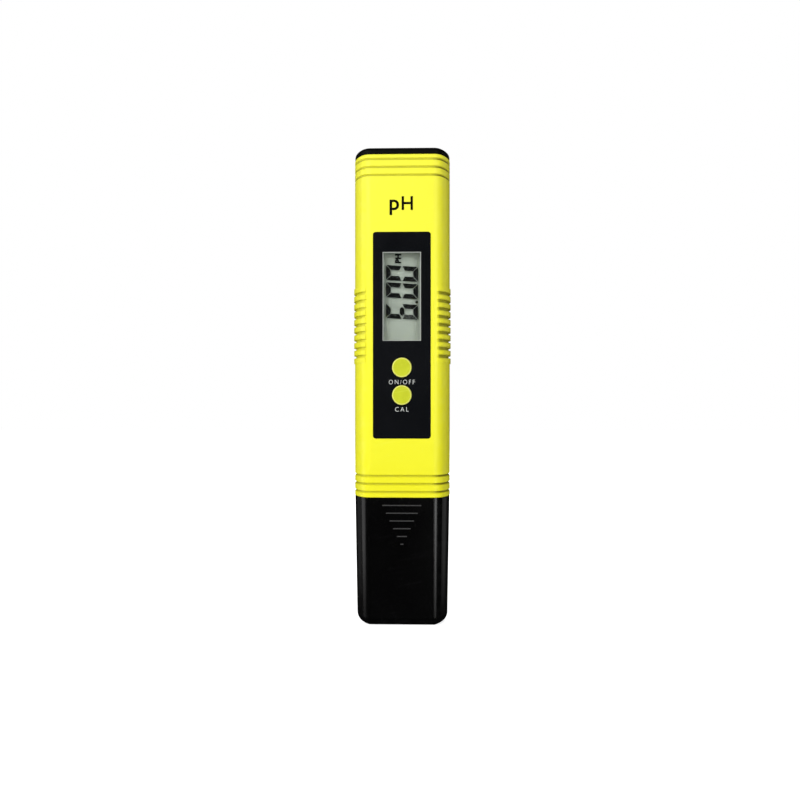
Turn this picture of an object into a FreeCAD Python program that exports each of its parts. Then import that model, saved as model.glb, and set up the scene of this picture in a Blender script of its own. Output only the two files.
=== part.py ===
import FreeCAD, Part
import math
import os
import Sketcher

# A pen-type digital pH meter: a one-piece yellow case, a black push-on cap over the probe, a pull-out battery
# drawer at the top, two keys, a display and circuit board on a slide-in cradle, and a combination electrode.
# Frame: +Z runs up the pen, -Y is the front with the display, and the origin is the centre of the cap's base.

doc = FreeCAD.newDocument("ph_meter")
sheet = doc.addObject("Spreadsheet::Sheet", "Sizes")


class Size:
    """A length with the sheet expression that gives it, so that sums of sizes stay bound to the sheet."""

    def __init__(self, text, number):
        self.text = text
        self.number = number

    def __add__(self, other):
        return Size(f"({self.text} + {text_of(other)})", self.number + number_of(other))

    def __radd__(self, other):
        return Size(f"({text_of(other)} + {self.text})", number_of(other) + self.number)

    def __sub__(self, other):
        return Size(f"({self.text} - {text_of(other)})", self.number - number_of(other))

    def __rsub__(self, other):
        return Size(f"({text_of(other)} - {self.text})", number_of(other) - self.number)

    def __mul__(self, other):
        return Size(f"({self.text} * {text_of(other)})", self.number * number_of(other))

    __rmul__ = __mul__

    def __truediv__(self, other):
        return Size(f"({self.text} / {text_of(other)})", self.number / number_of(other))

    def __neg__(self):
        return Size(f"(0 - {self.text})", -self.number)


def text_of(value):
    return value.text if isinstance(value, Size) else f"{float(value):.6f}"


def number_of(value):
    return value.number if isinstance(value, Size) else float(value)


def root(value):
    return Size(f"sqrt({value.text})", math.sqrt(value.number))


def size(name, number):
    """Writes one driving dimension to the sheet, in millimetres, and returns it."""
    size.row += 1
    sheet.set(f"A{size.row}", name)
    sheet.set(f"B{size.row}", str(number))
    sheet.setAlias(f"B{size.row}", name)
    return Size(f"Sizes.{name}", number)


size.row = 0

# ---------------------------------------------------------------- driving dimensions
# The case, and the clearances that every fit uses
case_width = size("case_width", 31.8)
case_depth = size("case_depth", 18.0)
case_length = size("case_length", 111.5)
case_wall = size("case_wall", 1.8)
side_reach = size("side_reach", 5.755)
corner_radius = size("corner_radius", 4.0)
edge_break = size("edge_break", 0.3)
seam_gap = size("seam_gap", 0.1)
slide_fit = size("slide_fit", 0.12)
close_fit = size("close_fit", 0.05)
press_fit = size("press_fit", 0.02)

# Rings round both ends of the case, and the finger grips on its sides
ring_radius = size("ring_radius", 0.42)
ring_pitch = size("ring_pitch", 2.6)
ring_count = 3
ring_top_margin = size("ring_top_margin", 1.6)
ring_bottom_margin = size("ring_bottom_margin", 1.85)
grip_up_case = size("grip_up_case", 56.2)
grip_pitch = size("grip_pitch", 2.57)
grip_count = 9
grip_groove_width = size("grip_groove_width", 0.95)
grip_groove_depth = size("grip_groove_depth", 0.4)
grip_rib_height = size("grip_rib_height", 0.3)
grip_wrap = size("grip_wrap", 4.1)

# Front overlay, display window and keys
overlay_width = size("overlay_width", 18.7)
overlay_height = size("overlay_height", 67.0)
overlay_thickness = size("overlay_thickness", 0.5)
overlay_corner = size("overlay_corner", 0.9)
overlay_up_case = size("overlay_up_case", 19.2)
window_width = size("window_width", 12.4)
window_height = size("window_height", 28.8)
window_up_overlay = size("window_up_overlay", 31.7)
lens_rim = size("lens_rim", 1.3)
lens_rim_thickness = size("lens_rim_thickness", 0.6)
key_diameter = size("key_diameter", 6.3)
key_rim = size("key_rim", 0.6)
key_rim_thickness = size("key_rim_thickness", 0.75)
key_clearance = size("key_clearance", 0.1)
key_proud = size("key_proud", 0.4)
key_travel = size("key_travel", 0.35)
key_stem_diameter = size("key_stem_diameter", 3.0)
key_stem_length = size("key_stem_length", 1.1)
cal_key_up_overlay = size("cal_key_up_overlay", 14.1)
key_spacing = size("key_spacing", 8.95)

# Push-on cap
cap_length = size("cap_length", 42.0)
cap_wall = size("cap_wall", 1.5)
cap_floor = size("cap_floor", 1.8)
cap_rim_inset = size("cap_rim_inset", 0.1)
cap_taper = size("cap_taper", 0.75)
cap_base_round = size("cap_base_round", 3.0)
mark_count = 6
mark_drop = size("mark_drop", 2.4)
mark_pitch = size("mark_pitch", 2.52)
mark_length = size("mark_length", 12.7)
mark_step = size("mark_step", 2.35)
mark_radius = size("mark_radius", 0.25)
sponge_height = size("sponge_height", 4.5)
sponge_clearance = size("sponge_clearance", 0.3)

# Battery drawer: a lid with a sealed plug, and a tray with button cells in a row across the pen
lid_head = size("lid_head", 2.2)
lid_round = size("lid_round", 1.3)
lid_plug_length = size("lid_plug_length", 3.8)
seal_cord = size("seal_cord", 1.1)
cell_diameter = size("cell_diameter", 11.6)
cell_thickness = size("cell_thickness", 5.4)
cell_cap_diameter = size("cell_cap_diameter", 9.4)
cell_cap_height = size("cell_cap_height", 0.35)
cell_count = 4
cell_clearance = size("cell_clearance", 0.15)
spring_length = size("spring_length", 1.6)
spring_wire = size("spring_wire", 0.4)
spring_diameter = size("spring_diameter", 7.4)
contact_thickness = size("contact_thickness", 0.3)
contact_width = size("contact_width", 5.0)
contact_foot = size("contact_foot", 5.5)
tray_floor = size("tray_floor", 1.0)
tray_roof = size("tray_roof", 0.6)
peg_diameter = size("peg_diameter", 2.0)
peg_height = size("peg_height", 2.0)

# Display sandwich, circuit board and cradle
frame_lip = size("frame_lip", 0.4)
frame_border = size("frame_border", 1.3)
film_thickness = size("film_thickness", 0.2)
glass_plate = size("glass_plate", 0.7)
glass_border = size("glass_border", 2.6)
glass_ledge = size("glass_ledge", 1.8)
zebra_width = size("zebra_width", 1.3)
zebra_depth = size("zebra_depth", 3.0)
board_thickness = size("board_thickness", 1.2)
board_margin = size("board_margin", 0.6)
switch_side = size("switch_side", 6.0)
switch_height = size("switch_height", 2.6)
switch_well = size("switch_well", 1.25)
plunger_diameter = size("plunger_diameter", 3.2)
screw_shank = size("screw_shank", 1.5)
screw_head = size("screw_head", 2.7)
screw_head_height = size("screw_head_height", 0.9)
screw_length = size("screw_length", 4.5)
screw_edge = size("screw_edge", 1.05)
screw_side_gap = size("screw_side_gap", 0.076)
rail_overlap = size("rail_overlap", 2.2)
cradle_back = size("cradle_back", 1.2)
terminal_thickness = size("terminal_thickness", 0.25)
terminal_width = size("terminal_width", 3.0)
terminal_rise = size("terminal_rise", 1.3)
terminal_spacing = size("terminal_spacing", 16.0)

# Circuit parts on the board's back
chip_lift = size("chip_lift", 0.1)
mcu_width = size("mcu_width", 6.1)
mcu_length = size("mcu_length", 12.5)
mcu_height = size("mcu_height", 1.0)
mcu_pitch = size("mcu_pitch", 0.5)
mcu_leads = 48
opamp_width = size("opamp_width", 3.9)
opamp_length = size("opamp_length", 4.9)
opamp_height = size("opamp_height", 1.4)
opamp_pitch = size("opamp_pitch", 1.27)
opamp_leads = 8
lead_reach = size("lead_reach", 1.1)
capacitor_height = size("capacitor_height", 1.1)
resistor_height = size("resistor_height", 0.6)
small_part_length = size("small_part_length", 2.0)
small_part_width = size("small_part_width", 1.25)
small_part_pitch = size("small_part_pitch", 3.4)
small_part_column = size("small_part_column", 7.6)
crystal_diameter = size("crystal_diameter", 2.1)
crystal_length = size("crystal_length", 6.2)

# Probe: collar, electrode and temperature sensor
neck_length = size("neck_length", 12.0)
collar_plug_length = size("collar_plug_length", 10.0)
electrode_diameter = size("electrode_diameter", 11.6)
electrode_wall = size("electrode_wall", 0.8)
electrode_reach = size("electrode_reach", 21.3)
guard_height = size("guard_height", 8.5)
guard_slot = size("guard_slot", 5.2)
guard_plate = size("guard_plate", 3.0)
bulb_swell = size("bulb_swell", 0.4)
bulb_recess = size("bulb_recess", 2.2)
stem_gap = size("stem_gap", 2.8)
glass_wall = size("glass_wall", 0.5)
sensor_diameter = size("sensor_diameter", 1.8)
sensor_wall = size("sensor_wall", 0.2)
junction_diameter = size("junction_diameter", 1.6)
wire_diameter = size("wire_diameter", 0.6)
potting_height = size("potting_height", 4.0)
lead_diameter = size("lead_diameter", 1.0)
fine_lead_diameter = size("fine_lead_diameter", 0.5)
signal_pad_x = size("signal_pad_x", -4.0)
signal_pad_rise = size("signal_pad_rise", 8.0)
reference_pad_x = size("reference_pad_x", -7.5)
reference_pad_rise = size("reference_pad_rise", 6.5)
sensor_pad_x = size("sensor_pad_x", 5.4)
sensor_pad_rise = size("sensor_pad_rise", 7.5)
lead_stand_off = size("lead_stand_off", 4.0)
doc.recompute()

# ---------------------------------------------------------------- levels and planes worked out from them
# Planes named front or back are given as their distance in front of the pen's middle plane, so y = -distance.
half_width = case_width / 2
half_depth = case_depth / 2
corner_rise = half_depth - corner_radius
side_radius = ((side_reach * side_reach + corner_rise * corner_rise - corner_radius * corner_radius)
               / (2 * (side_reach - corner_radius)))
case_base = cap_length + seam_gap
case_top = case_base + case_length
lid_base = case_top + seam_gap
bore_inset = case_wall + slide_fit

overlay_base = case_base + overlay_up_case
overlay_middle = overlay_base + overlay_height / 2
overlay_back = half_depth - overlay_thickness
window_middle = overlay_base + window_up_overlay + window_height / 2
cal_key_level = overlay_base + cal_key_up_overlay
power_key_level = cal_key_level + key_spacing

frame_front = half_depth - case_wall - seam_gap
film_front = frame_front - frame_lip
front_glass_front = film_front - film_thickness
rear_glass_front = front_glass_front - glass_plate
rear_film_front = rear_glass_front - glass_plate
board_front = rear_glass_front - zebra_depth
board_back = board_front - board_thickness
head_front = board_front + screw_head_height
bore_radius = side_radius - bore_inset
bore_reach = half_width - side_radius + root(bore_radius * bore_radius - head_front * head_front)
board_width = 2 * (bore_reach - screw_side_gap - screw_head / 2 + screw_edge)
key_rim_front = overlay_back - close_fit
key_rim_back = key_rim_front - key_rim_thickness
stem_tip = key_rim_back - key_stem_length
switch_front = board_front + switch_height

neck_base = case_base - neck_length
neck_inset = cap_rim_inset + cap_wall + slide_fit
collar_top = case_base + collar_plug_length
electrode_base = neck_base - electrode_reach
guard_top = electrode_base + guard_height
guard_plate_top = guard_top + guard_plate
electrode_top = collar_top - 2 * close_fit
potting_base = electrode_top - potting_height

plug_base = lid_base - lid_plug_length
tray_base = plug_base - tray_roof - cell_diameter - 2 * cell_clearance - tray_floor
cell_level = tray_base + tray_floor + cell_clearance + cell_diameter / 2
bay_half = (cell_count * cell_thickness + spring_length) / 2
cradle_top = tray_base - terminal_rise
cradle_base = collar_top
board_top = cradle_top - board_margin
board_base = cradle_base + 4 * board_margin
lid_seal_level = lid_base - lid_plug_length / 2
collar_seal_level = neck_base + neck_length / 2
peg_spacing = 2 * bay_half - peg_diameter
fine_lead_offset = fine_lead_diameter / 2 + close_fit
wire_top = electrode_top + wire_diameter
stem_diameter = electrode_diameter - 2 * electrode_wall - 2 * stem_gap
bulb_diameter = stem_diameter + 2 * bulb_swell
sensor_base = electrode_base + bulb_recess + glass_wall
bead_base = sensor_base + sensor_wall + close_fit
bead_top = bead_base + sensor_diameter
probe_ring = (electrode_diameter / 2 - electrode_wall + stem_diameter / 2) / 2 + close_fit


# ---------------------------------------------------------------- modelling helpers
nodes = []
ORIGIN = (-1, 1)
START, END, CENTRE = 1, 2, 3
UP = FreeCAD.Vector(0, 0, 1)


def bind(thing, name, value):
    """Ties a property, or a constraint, to the sheet."""
    thing.setExpression(name, text_of(value))


def body(label):
    """A new sub-part, made of sketched features."""
    made = doc.addObject("PartDesign::Body", label)
    made.Label = label
    nodes.append(made)
    return made


def origin_feature(owner, role):
    return next(feature for feature in owner.Origin.OriginFeatures if feature.Role == role)


def sketch(owner, plane, offset=0.0):
    """A sketch parallel to one of its body's origin planes, whose normals are +Z, the front (-Y) and +X."""
    made = owner.newObject("Sketcher::SketchObject", f"{owner.Name}_sketch")
    made.AttachmentSupport = [(origin_feature(owner, plane), "")]
    made.MapMode = "FlatFace"
    bind(made, "AttachmentOffset.Base.z", offset)
    return made


def dimension(sk, kind, *where, value):
    """A driving constraint, tied to the sheet."""
    index = sk.addConstraint(Sketcher.Constraint(kind, *where, number_of(value)))
    bind(sk, f"Constraints[{index}]", value)


def line(sk, first, last):
    return sk.addGeometry(Part.LineSegment(FreeCAD.Vector(*first, 0), FreeCAD.Vector(*last, 0)), False)


def arc(sk, x, y, radius, start, end):
    ring = Part.Circle(FreeCAD.Vector(x, y, 0), UP, radius)
    return sk.addGeometry(Part.ArcOfCircle(ring, start, end), False)


def circle(sk, x, y, diameter):
    ring = Part.Circle(FreeCAD.Vector(number_of(x), number_of(y), 0), UP, number_of(diameter) / 2)
    made = sk.addGeometry(ring, False)
    dimension(sk, "Radius", made, value=diameter / 2)
    dimension(sk, "DistanceX", *ORIGIN, made, CENTRE, value=x)
    dimension(sk, "DistanceY", *ORIGIN, made, CENTRE, value=y)


def outline(sk, points):
    """A closed outline of straight lines, with each corner's place tied to the sheet."""
    first = sk.GeometryCount
    places = [(number_of(x), number_of(y)) for x, y in points]
    for k, place in enumerate(places):
        line(sk, place, places[(k + 1) % len(places)])
    for k, (x, y) in enumerate(points):
        following = first + (k + 1) % len(points)
        sk.addConstraint(Sketcher.Constraint("Coincident", first + k, END, following, START))
        dimension(sk, "DistanceX", *ORIGIN, first + k, START, value=x)
        dimension(sk, "DistanceY", *ORIGIN, first + k, START, value=y)


def rectangle(sk, x, y, width, height):
    """A rectangle given by its centre and sides."""
    left, right, low, high = x - width / 2, x + width / 2, y - height / 2, y + height / 2
    outline(sk, [(left, low), (right, low), (right, high), (left, high)])


def rounded_rectangle(sk, x, y, width, height, radius):
    """A rectangle with equal round corners, given by its centre and sides."""
    left, right, low, high = x - width / 2, x + width / 2, y - height / 2, y + height / 2
    west, east, south, north, turn = (number_of(v) for v in (left, right, low, high, radius))
    quarter = math.pi / 2
    first = line(sk, (west + turn, south), (east - turn, south))
    arc(sk, east - turn, south + turn, turn, -quarter, 0)
    line(sk, (east, south + turn), (east, north - turn))
    arc(sk, east - turn, north - turn, turn, 0, quarter)
    line(sk, (east - turn, north), (west + turn, north))
    arc(sk, west + turn, north - turn, turn, quarter, 2 * quarter)
    line(sk, (west, north - turn), (west, south + turn))
    arc(sk, west + turn, south + turn, turn, 2 * quarter, 3 * quarter)
    for k in range(8):
        sk.addConstraint(Sketcher.Constraint("Tangent", first + k, END, first + (k + 1) % 8, START))
    for k in (0, 4):
        sk.addConstraint(Sketcher.Constraint("Horizontal", first + k))
        sk.addConstraint(Sketcher.Constraint("Vertical", first + k + 2))
    for k in (3, 5, 7):
        sk.addConstraint(Sketcher.Constraint("Equal", first + 1, first + k))
    dimension(sk, "Radius", first + 1, value=radius)
    dimension(sk, "DistanceY", *ORIGIN, first, START, value=low)
    dimension(sk, "DistanceX", *ORIGIN, first + 2, START, value=right)
    dimension(sk, "DistanceY", *ORIGIN, first + 4, START, value=high)
    dimension(sk, "DistanceX", *ORIGIN, first + 6, START, value=left)


def corner_centre(inset):
    """Centre of the small arc between the section's flat front and its curved side, as (x, y)."""
    small, large = corner_radius - inset, side_radius - inset
    rise = half_depth - inset - small
    return half_width - side_radius + root((large - small) * (large - small) - rise * rise), rise


def oval(sk, inset=0.0):
    """The pen's section, inset from its outside: flat front and back, curved sides, small arcs between."""
    centre_x, rise = (number_of(v) for v in corner_centre(inset))
    small, large = number_of(corner_radius - inset), number_of(side_radius - inset)
    side_x, face = number_of(half_width - side_radius), number_of(half_depth - inset)
    turn = math.atan2(rise, centre_x - side_x)
    quarter = math.pi / 2
    front = line(sk, (-centre_x, -face), (centre_x, -face))
    arc(sk, centre_x, -rise, small, -quarter, -turn)
    right = arc(sk, side_x, 0, large, -turn, turn)
    arc(sk, centre_x, rise, small, turn, quarter)
    back = line(sk, (centre_x, face), (-centre_x, face))
    arc(sk, -centre_x, rise, small, quarter, 2 * quarter - turn)
    left = arc(sk, -side_x, 0, large, 2 * quarter - turn, 2 * quarter + turn)
    arc(sk, -centre_x, -rise, small, 2 * quarter + turn, 3 * quarter)
    for k in range(8):
        sk.addConstraint(Sketcher.Constraint("Tangent", front + k, END, front + (k + 1) % 8, START))
    for k in (3, 5, 7):
        sk.addConstraint(Sketcher.Constraint("Equal", front + 1, front + k))
    sk.addConstraint(Sketcher.Constraint("Equal", right, left))
    for flat in (front, back):
        sk.addConstraint(Sketcher.Constraint("Horizontal", flat))
    for side in (right, left):
        sk.addConstraint(Sketcher.Constraint("PointOnObject", side, CENTRE, -1))
    dimension(sk, "Radius", front + 1, value=corner_radius - inset)
    dimension(sk, "Radius", right, value=side_radius - inset)
    dimension(sk, "DistanceX", *ORIGIN, right, CENTRE, value=half_width - side_radius)
    dimension(sk, "DistanceX", left, CENTRE, *ORIGIN, value=half_width - side_radius)
    dimension(sk, "DistanceY", front, START, *ORIGIN, value=half_depth - inset)
    dimension(sk, "DistanceY", *ORIGIN, back, START, value=half_depth - inset)


def side_arcs(sk, side, inset, cut_off):
    """The section's curved side between cut-off lines; returns its first and last curves and their height."""
    centre_x, rise = (number_of(v) for v in corner_centre(inset))
    small, large = number_of(corner_radius - inset), number_of(side_radius - inset)
    side_x = number_of(half_width - side_radius)
    turn = math.atan2(rise, centre_x - side_x)
    reach = math.acos((number_of(cut_off) - centre_x) / small)
    facing = 0 if side > 0 else math.pi
    first = arc(sk, side * centre_x, -side * rise, small, facing - reach, facing - turn)
    middle = arc(sk, side * side_x, 0, large, facing - turn, facing + turn)
    last = arc(sk, side * centre_x, side * rise, small, facing + turn, facing + reach)
    for k in (first, middle):
        sk.addConstraint(Sketcher.Constraint("Tangent", k, END, k + 1, START))
    sk.addConstraint(Sketcher.Constraint("PointOnObject", middle, CENTRE, -1))
    sk.addConstraint(Sketcher.Constraint("Equal", first, last))
    dimension(sk, "Radius", first, value=corner_radius - inset)
    dimension(sk, "Radius", middle, value=side_radius - inset)
    dimension(sk, "DistanceX", *ORIGIN, middle, CENTRE, value=side * (half_width - side_radius))
    dimension(sk, "DistanceY", first, CENTRE, *ORIGIN, value=side * corner_centre(inset)[1])
    dimension(sk, "DistanceY", *ORIGIN, last, CENTRE, value=side * corner_centre(inset)[1])
    for corner in (first, last):
        where = START if corner == first else END
        dimension(sk, "DistanceX", *ORIGIN, corner, where, value=side * cut_off)
    return first, last, side * (rise + small * math.sin(reach))


def pad(owner, profile, length, backwards=False, middle=False):
    """Extrudes a sketch along its normal, or the other way, or half each way."""
    made = owner.newObject("PartDesign::Pad", f"{owner.Name}_pad")
    made.Profile = profile
    made.Reversed = backwards
    made.SideType = "Symmetric" if middle else "One side"
    bind(made, "Length", length)
    return made


def pocket(owner, profile, length=None, forwards=False, middle=False):
    """Cuts against a sketch's normal, or along it, or half each way; with no length it cuts through all."""
    made = owner.newObject("PartDesign::Pocket", f"{owner.Name}_pocket")
    made.Profile = profile
    made.Reversed = forwards
    made.SideType = "Symmetric" if middle else "One side"
    if length is None:
        made.Type = "ThroughAll"
    else:
        bind(made, "Length", length)
    return made


def repeat(owner, feature, axis, pitch, count):
    """Repeats a feature along one of its body's axes."""
    made = owner.newObject("PartDesign::LinearPattern", f"{owner.Name}_pattern")
    made.Originals = [feature]
    made.Direction = (origin_feature(owner, axis), [""])
    made.Mode = "Spacing"
    made.Occurrences = count
    bind(made, "Offset", pitch)
    owner.Tip = made
    return made


def round_edges(owner, feature, radius, chosen):
    """Fillets the edges of a feature that pass the test."""
    doc.recompute()
    names = [f"Edge{k + 1}" for k, edge in enumerate(feature.Shape.Edges) if chosen(edge.BoundBox)]
    made = owner.newObject("PartDesign::Fillet", f"{owner.Name}_fillet")
    made.Base = (feature, names)
    bind(made, "Radius", radius)
    return made


def at_level(*levels):
    """Test for edges that lie flat at one of the given heights."""
    return lambda box: any(abs(box.ZMin - number_of(z)) + abs(box.ZMax - number_of(z)) < 1e-4 for z in levels)


def at_front(distance):
    """Test for edges that lie in a plane a distance in front of the middle plane."""
    return lambda box: abs(box.YMin + number_of(distance)) + abs(box.YMax + number_of(distance)) < 1e-4


def sweep(owner, profile, path, cut=False):
    kind = "Subtractive" if cut else "Additive"
    made = owner.newObject(f"PartDesign::{kind}Pipe", f"{owner.Name}_sweep")
    made.Profile = profile
    made.Spine = (path, [])
    return made


def block(label, x, front, z, width, depth, height):
    """A plain block: centred at x and z, with its front face at a distance before the middle plane."""
    made = doc.addObject("Part::Box", label)
    made.Label = label
    bind(made, "Length", width)
    bind(made, "Width", depth)
    bind(made, "Height", height)
    bind(made, "Placement.Base.x", x - width / 2)
    bind(made, "Placement.Base.y", -front)
    bind(made, "Placement.Base.z", z - height / 2)
    return made


AIMS = {"up": FreeCAD.Rotation(), "front": FreeCAD.Rotation(FreeCAD.Vector(1, 0, 0), 90),
        "right": FreeCAD.Rotation(FreeCAD.Vector(0, 1, 0), 90)}


def rod(label, aim, x, y, z, diameter, length):
    """A plain round bar that starts at a point and runs up, to the front or to the right."""
    made = doc.addObject("Part::Cylinder", label)
    made.Label = label
    made.Placement.Rotation = AIMS[aim]
    bind(made, "Radius", diameter / 2)
    bind(made, "Height", length)
    for axis, value in zip("xyz", (x, y, z)):
        bind(made, f"Placement.Base.{axis}", value)
    return made


def cut(label, base, tool):
    made = doc.addObject("Part::Cut", label)
    made.Label = label
    made.Base = base
    made.Tool = tool
    return made


def join(label, pieces, kind="Part::MultiFuse"):
    made = doc.addObject(kind, label)
    made.Label = label
    if kind == "Part::Compound":
        made.Links = pieces
    else:
        made.Shapes = pieces
    return made


def keep(made):
    """Counts a finished object as one of the sub-parts."""
    nodes.append(made)
    return made


# ---------------------------------------------------------------- case
def main_housing():
    """One-piece moulded case: a tube with rings at both ends, side grips and a recess for the overlay."""
    case = body("main_housing")
    section = sketch(case, "XY_Plane", case_base)
    oval(section)
    tube = pad(case, section, case_length)
    round_edges(case, tube, edge_break, at_level(case_base, case_top))

    top_ring = case_top - ring_top_margin - (ring_count - 1) * ring_pitch
    for first_ring in (case_base + ring_bottom_margin, top_ring):
        path = sketch(case, "XY_Plane", first_ring)
        oval(path)
        bead = sketch(case, "YZ_Plane")
        circle(bead, -half_depth, first_ring, 2 * ring_radius)
        groove = sweep(case, bead, path, cut=True)
        repeat(case, groove, "Z_Axis", ring_pitch, ring_count)

    # A raised band on each side, which the grooves then divide into ribs
    cut_off = half_width - grip_wrap
    band_length = (grip_count + 1) * grip_pitch - grip_groove_width
    band_base = case_base + grip_up_case - band_length / 2
    for side in (1, -1):
        band = sketch(case, "XY_Plane", band_base)
        first, last, rise = side_arcs(band, side, -grip_rib_height, cut_off)
        chord = line(band, (side * number_of(cut_off), rise), (side * number_of(cut_off), -rise))
        band.addConstraint(Sketcher.Constraint("Coincident", last, END, chord, START))
        band.addConstraint(Sketcher.Constraint("Coincident", chord, END, first, START))
        pad(case, band, band_length)
    margin = number_of(half_depth) + 1
    groove_base = band_base + grip_pitch - grip_groove_width
    for side in (1, -1):
        slot = sketch(case, "XY_Plane", groove_base)
        first, last, rise = side_arcs(slot, side, grip_groove_depth, cut_off - edge_break)
        inner, outer = side * number_of(cut_off - edge_break), side * (number_of(half_width) + 1)
        y = side * margin
        corners = [(inner, y), (outer, y), (outer, -y), (inner, -y)]
        up = line(slot, (inner, rise), corners[0])
        for start, end in zip(corners, corners[1:]):
            line(slot, start, end)
        down = line(slot, corners[3], (inner, -rise))
        slot.addConstraint(Sketcher.Constraint("Coincident", last, END, up, START))
        for k in range(up, down):
            slot.addConstraint(Sketcher.Constraint("Coincident", k, END, k + 1, START))
        slot.addConstraint(Sketcher.Constraint("Coincident", down, END, first, START))
        for k in (up, up + 2, down):
            slot.addConstraint(Sketcher.Constraint("Vertical", k))
        for k in (up + 1, up + 3):
            slot.addConstraint(Sketcher.Constraint("Horizontal", k))
        dimension(slot, "DistanceX", *ORIGIN, up + 1, END, value=side * (half_width + 1))
        dimension(slot, "DistanceY", *ORIGIN, up + 1, END, value=side * (half_depth + 1))
        dimension(slot, "DistanceY", *ORIGIN, up + 3, END, value=-side * (half_depth + 1))
        groove = pocket(case, slot, grip_groove_width, forwards=True)
        repeat(case, groove, "Z_Axis", grip_pitch, grip_count)

    recess = sketch(case, "XZ_Plane", half_depth)
    rounded_rectangle(recess, 0.0, overlay_middle, overlay_width + 2 * close_fit,
                      overlay_height + 2 * close_fit, overlay_corner + close_fit)
    pocket(case, recess, overlay_thickness)
    rebate = sketch(case, "XZ_Plane", overlay_back)
    rectangle(rebate, 0.0, window_middle, window_width + 2 * lens_rim + 2 * close_fit,
              window_height + 2 * lens_rim + 2 * close_fit)
    pocket(case, rebate, lens_rim_thickness + close_fit)
    openings = sketch(case, "XZ_Plane", overlay_back)
    rectangle(openings, 0.0, window_middle, window_width + 2 * slide_fit, window_height + 2 * slide_fit)
    for level in (cal_key_level, power_key_level):
        circle(openings, 0.0, level, key_diameter + 2 * key_rim + 2 * slide_fit)
    pocket(case, openings, case_wall)

    bore = sketch(case, "XY_Plane", case_base)
    oval(bore, case_wall)
    pocket(case, bore, forwards=True)


def front_fascia():
    """Glossy black overlay glued into the case's recess, with holes for the window and the keys."""
    fascia = body("front_fascia")
    plate = sketch(fascia, "XZ_Plane", overlay_back)
    rounded_rectangle(plate, 0.0, overlay_middle, overlay_width, overlay_height, overlay_corner)
    rectangle(plate, 0.0, window_middle, window_width, window_height)
    for level in (cal_key_level, power_key_level):
        circle(plate, 0.0, level, key_diameter + 2 * key_clearance)
    pad(fascia, plate, overlay_thickness)


def window_lens():
    """Clear lens: its face is flush in the overlay, and its rim is trapped behind the overlay."""
    lens = body("window_lens")
    rim = sketch(lens, "XZ_Plane", overlay_back - lens_rim_thickness)
    rectangle(rim, 0.0, window_middle, window_width + 2 * lens_rim, window_height + 2 * lens_rim)
    pad(lens, rim, lens_rim_thickness)
    face = sketch(lens, "XZ_Plane", overlay_back)
    rectangle(face, 0.0, window_middle, window_width - 2 * close_fit, window_height - 2 * close_fit)
    pad(lens, face, overlay_thickness)


# ---------------------------------------------------------------- keys and their switches
def key(label, level):
    """A round key: a head through the overlay, a rim that keeps it in, and a stem to the switch."""
    cap = body(label)
    rim = sketch(cap, "XZ_Plane", key_rim_back)
    circle(rim, 0.0, level, key_diameter + 2 * key_rim)
    pad(cap, rim, key_rim_thickness)
    head = sketch(cap, "XZ_Plane", key_rim_front)
    circle(head, 0.0, level, key_diameter)
    face = pad(cap, head, half_depth + key_proud - key_rim_front)
    stem = sketch(cap, "XZ_Plane", key_rim_back)
    circle(stem, 0.0, level, key_stem_diameter)
    last = pad(cap, stem, key_stem_length, backwards=True)
    round_edges(cap, last, key_proud * 0.75, at_front(half_depth + key_proud))


def key_switch(name, level):
    """A square tact switch on the board, with its plunger loose in a well."""
    case = block(f"{name}_switch_case", 0.0, switch_front, level, switch_side, switch_height, switch_side)
    well = rod(f"{name}_switch_well", "front", 0.0, switch_well - switch_front, level,
               plunger_diameter + 2 * key_clearance, switch_well)
    keep(cut(f"{name}_switch_base", case, well))
    plunger_back = switch_front - switch_well + key_travel + close_fit
    keep(rod(f"{name}_switch_plunger", "front", 0.0, -plunger_back, level, plunger_diameter,
             stem_tip - plunger_back))


# ---------------------------------------------------------------- display
def display():
    """Liquid-crystal sandwich in its frame, with rubber contact strips down to the board."""
    glass_width, glass_height = window_width + 2 * glass_border, window_height + 2 * frame_border
    inner_width, inner_height = glass_width + 2 * close_fit, glass_height + 2 * close_fit
    frame = body("lcd_frame")
    outside = sketch(frame, "XZ_Plane", board_front)
    rectangle(outside, 0.0, window_middle, inner_width + 2 * frame_border, inner_height + 2 * frame_border)
    rectangle(outside, 0.0, window_middle, inner_width, inner_height)
    pad(frame, outside, film_front - board_front)
    lip = sketch(frame, "XZ_Plane", film_front)
    rectangle(lip, 0.0, window_middle, inner_width + 2 * frame_border, inner_height + 2 * frame_border)
    rectangle(lip, 0.0, window_middle, window_width + 2 * slide_fit, window_height + 2 * slide_fit)
    pad(frame, lip, frame_lip)

    narrow = glass_width - 2 * glass_ledge
    for label, front, width, depth in (
            ("lcd_front_polariser", film_front, glass_width, film_thickness),
            ("lcd_front_glass", front_glass_front, glass_width, glass_plate),
            ("lcd_rear_glass", rear_glass_front, narrow, glass_plate),
            ("lcd_rear_polariser", rear_film_front, narrow, film_thickness)):
        keep(block(label, 0.0, front, window_middle, width, depth, glass_height))
    strip_x = glass_width / 2 - glass_ledge / 2
    for label, side in (("zebra_strip_left", -1), ("zebra_strip_right", 1)):
        keep(block(label, side * strip_x, rear_glass_front, window_middle, zebra_width, zebra_depth,
                   window_height))


# ---------------------------------------------------------------- circuit board
def screw_places():
    """Centres of the board screws, as (x, z)."""
    x = board_width / 2 - screw_edge
    return [(side * x, z) for z in (board_base + screw_head, board_top - screw_head) for side in (-1, 1)]


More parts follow.
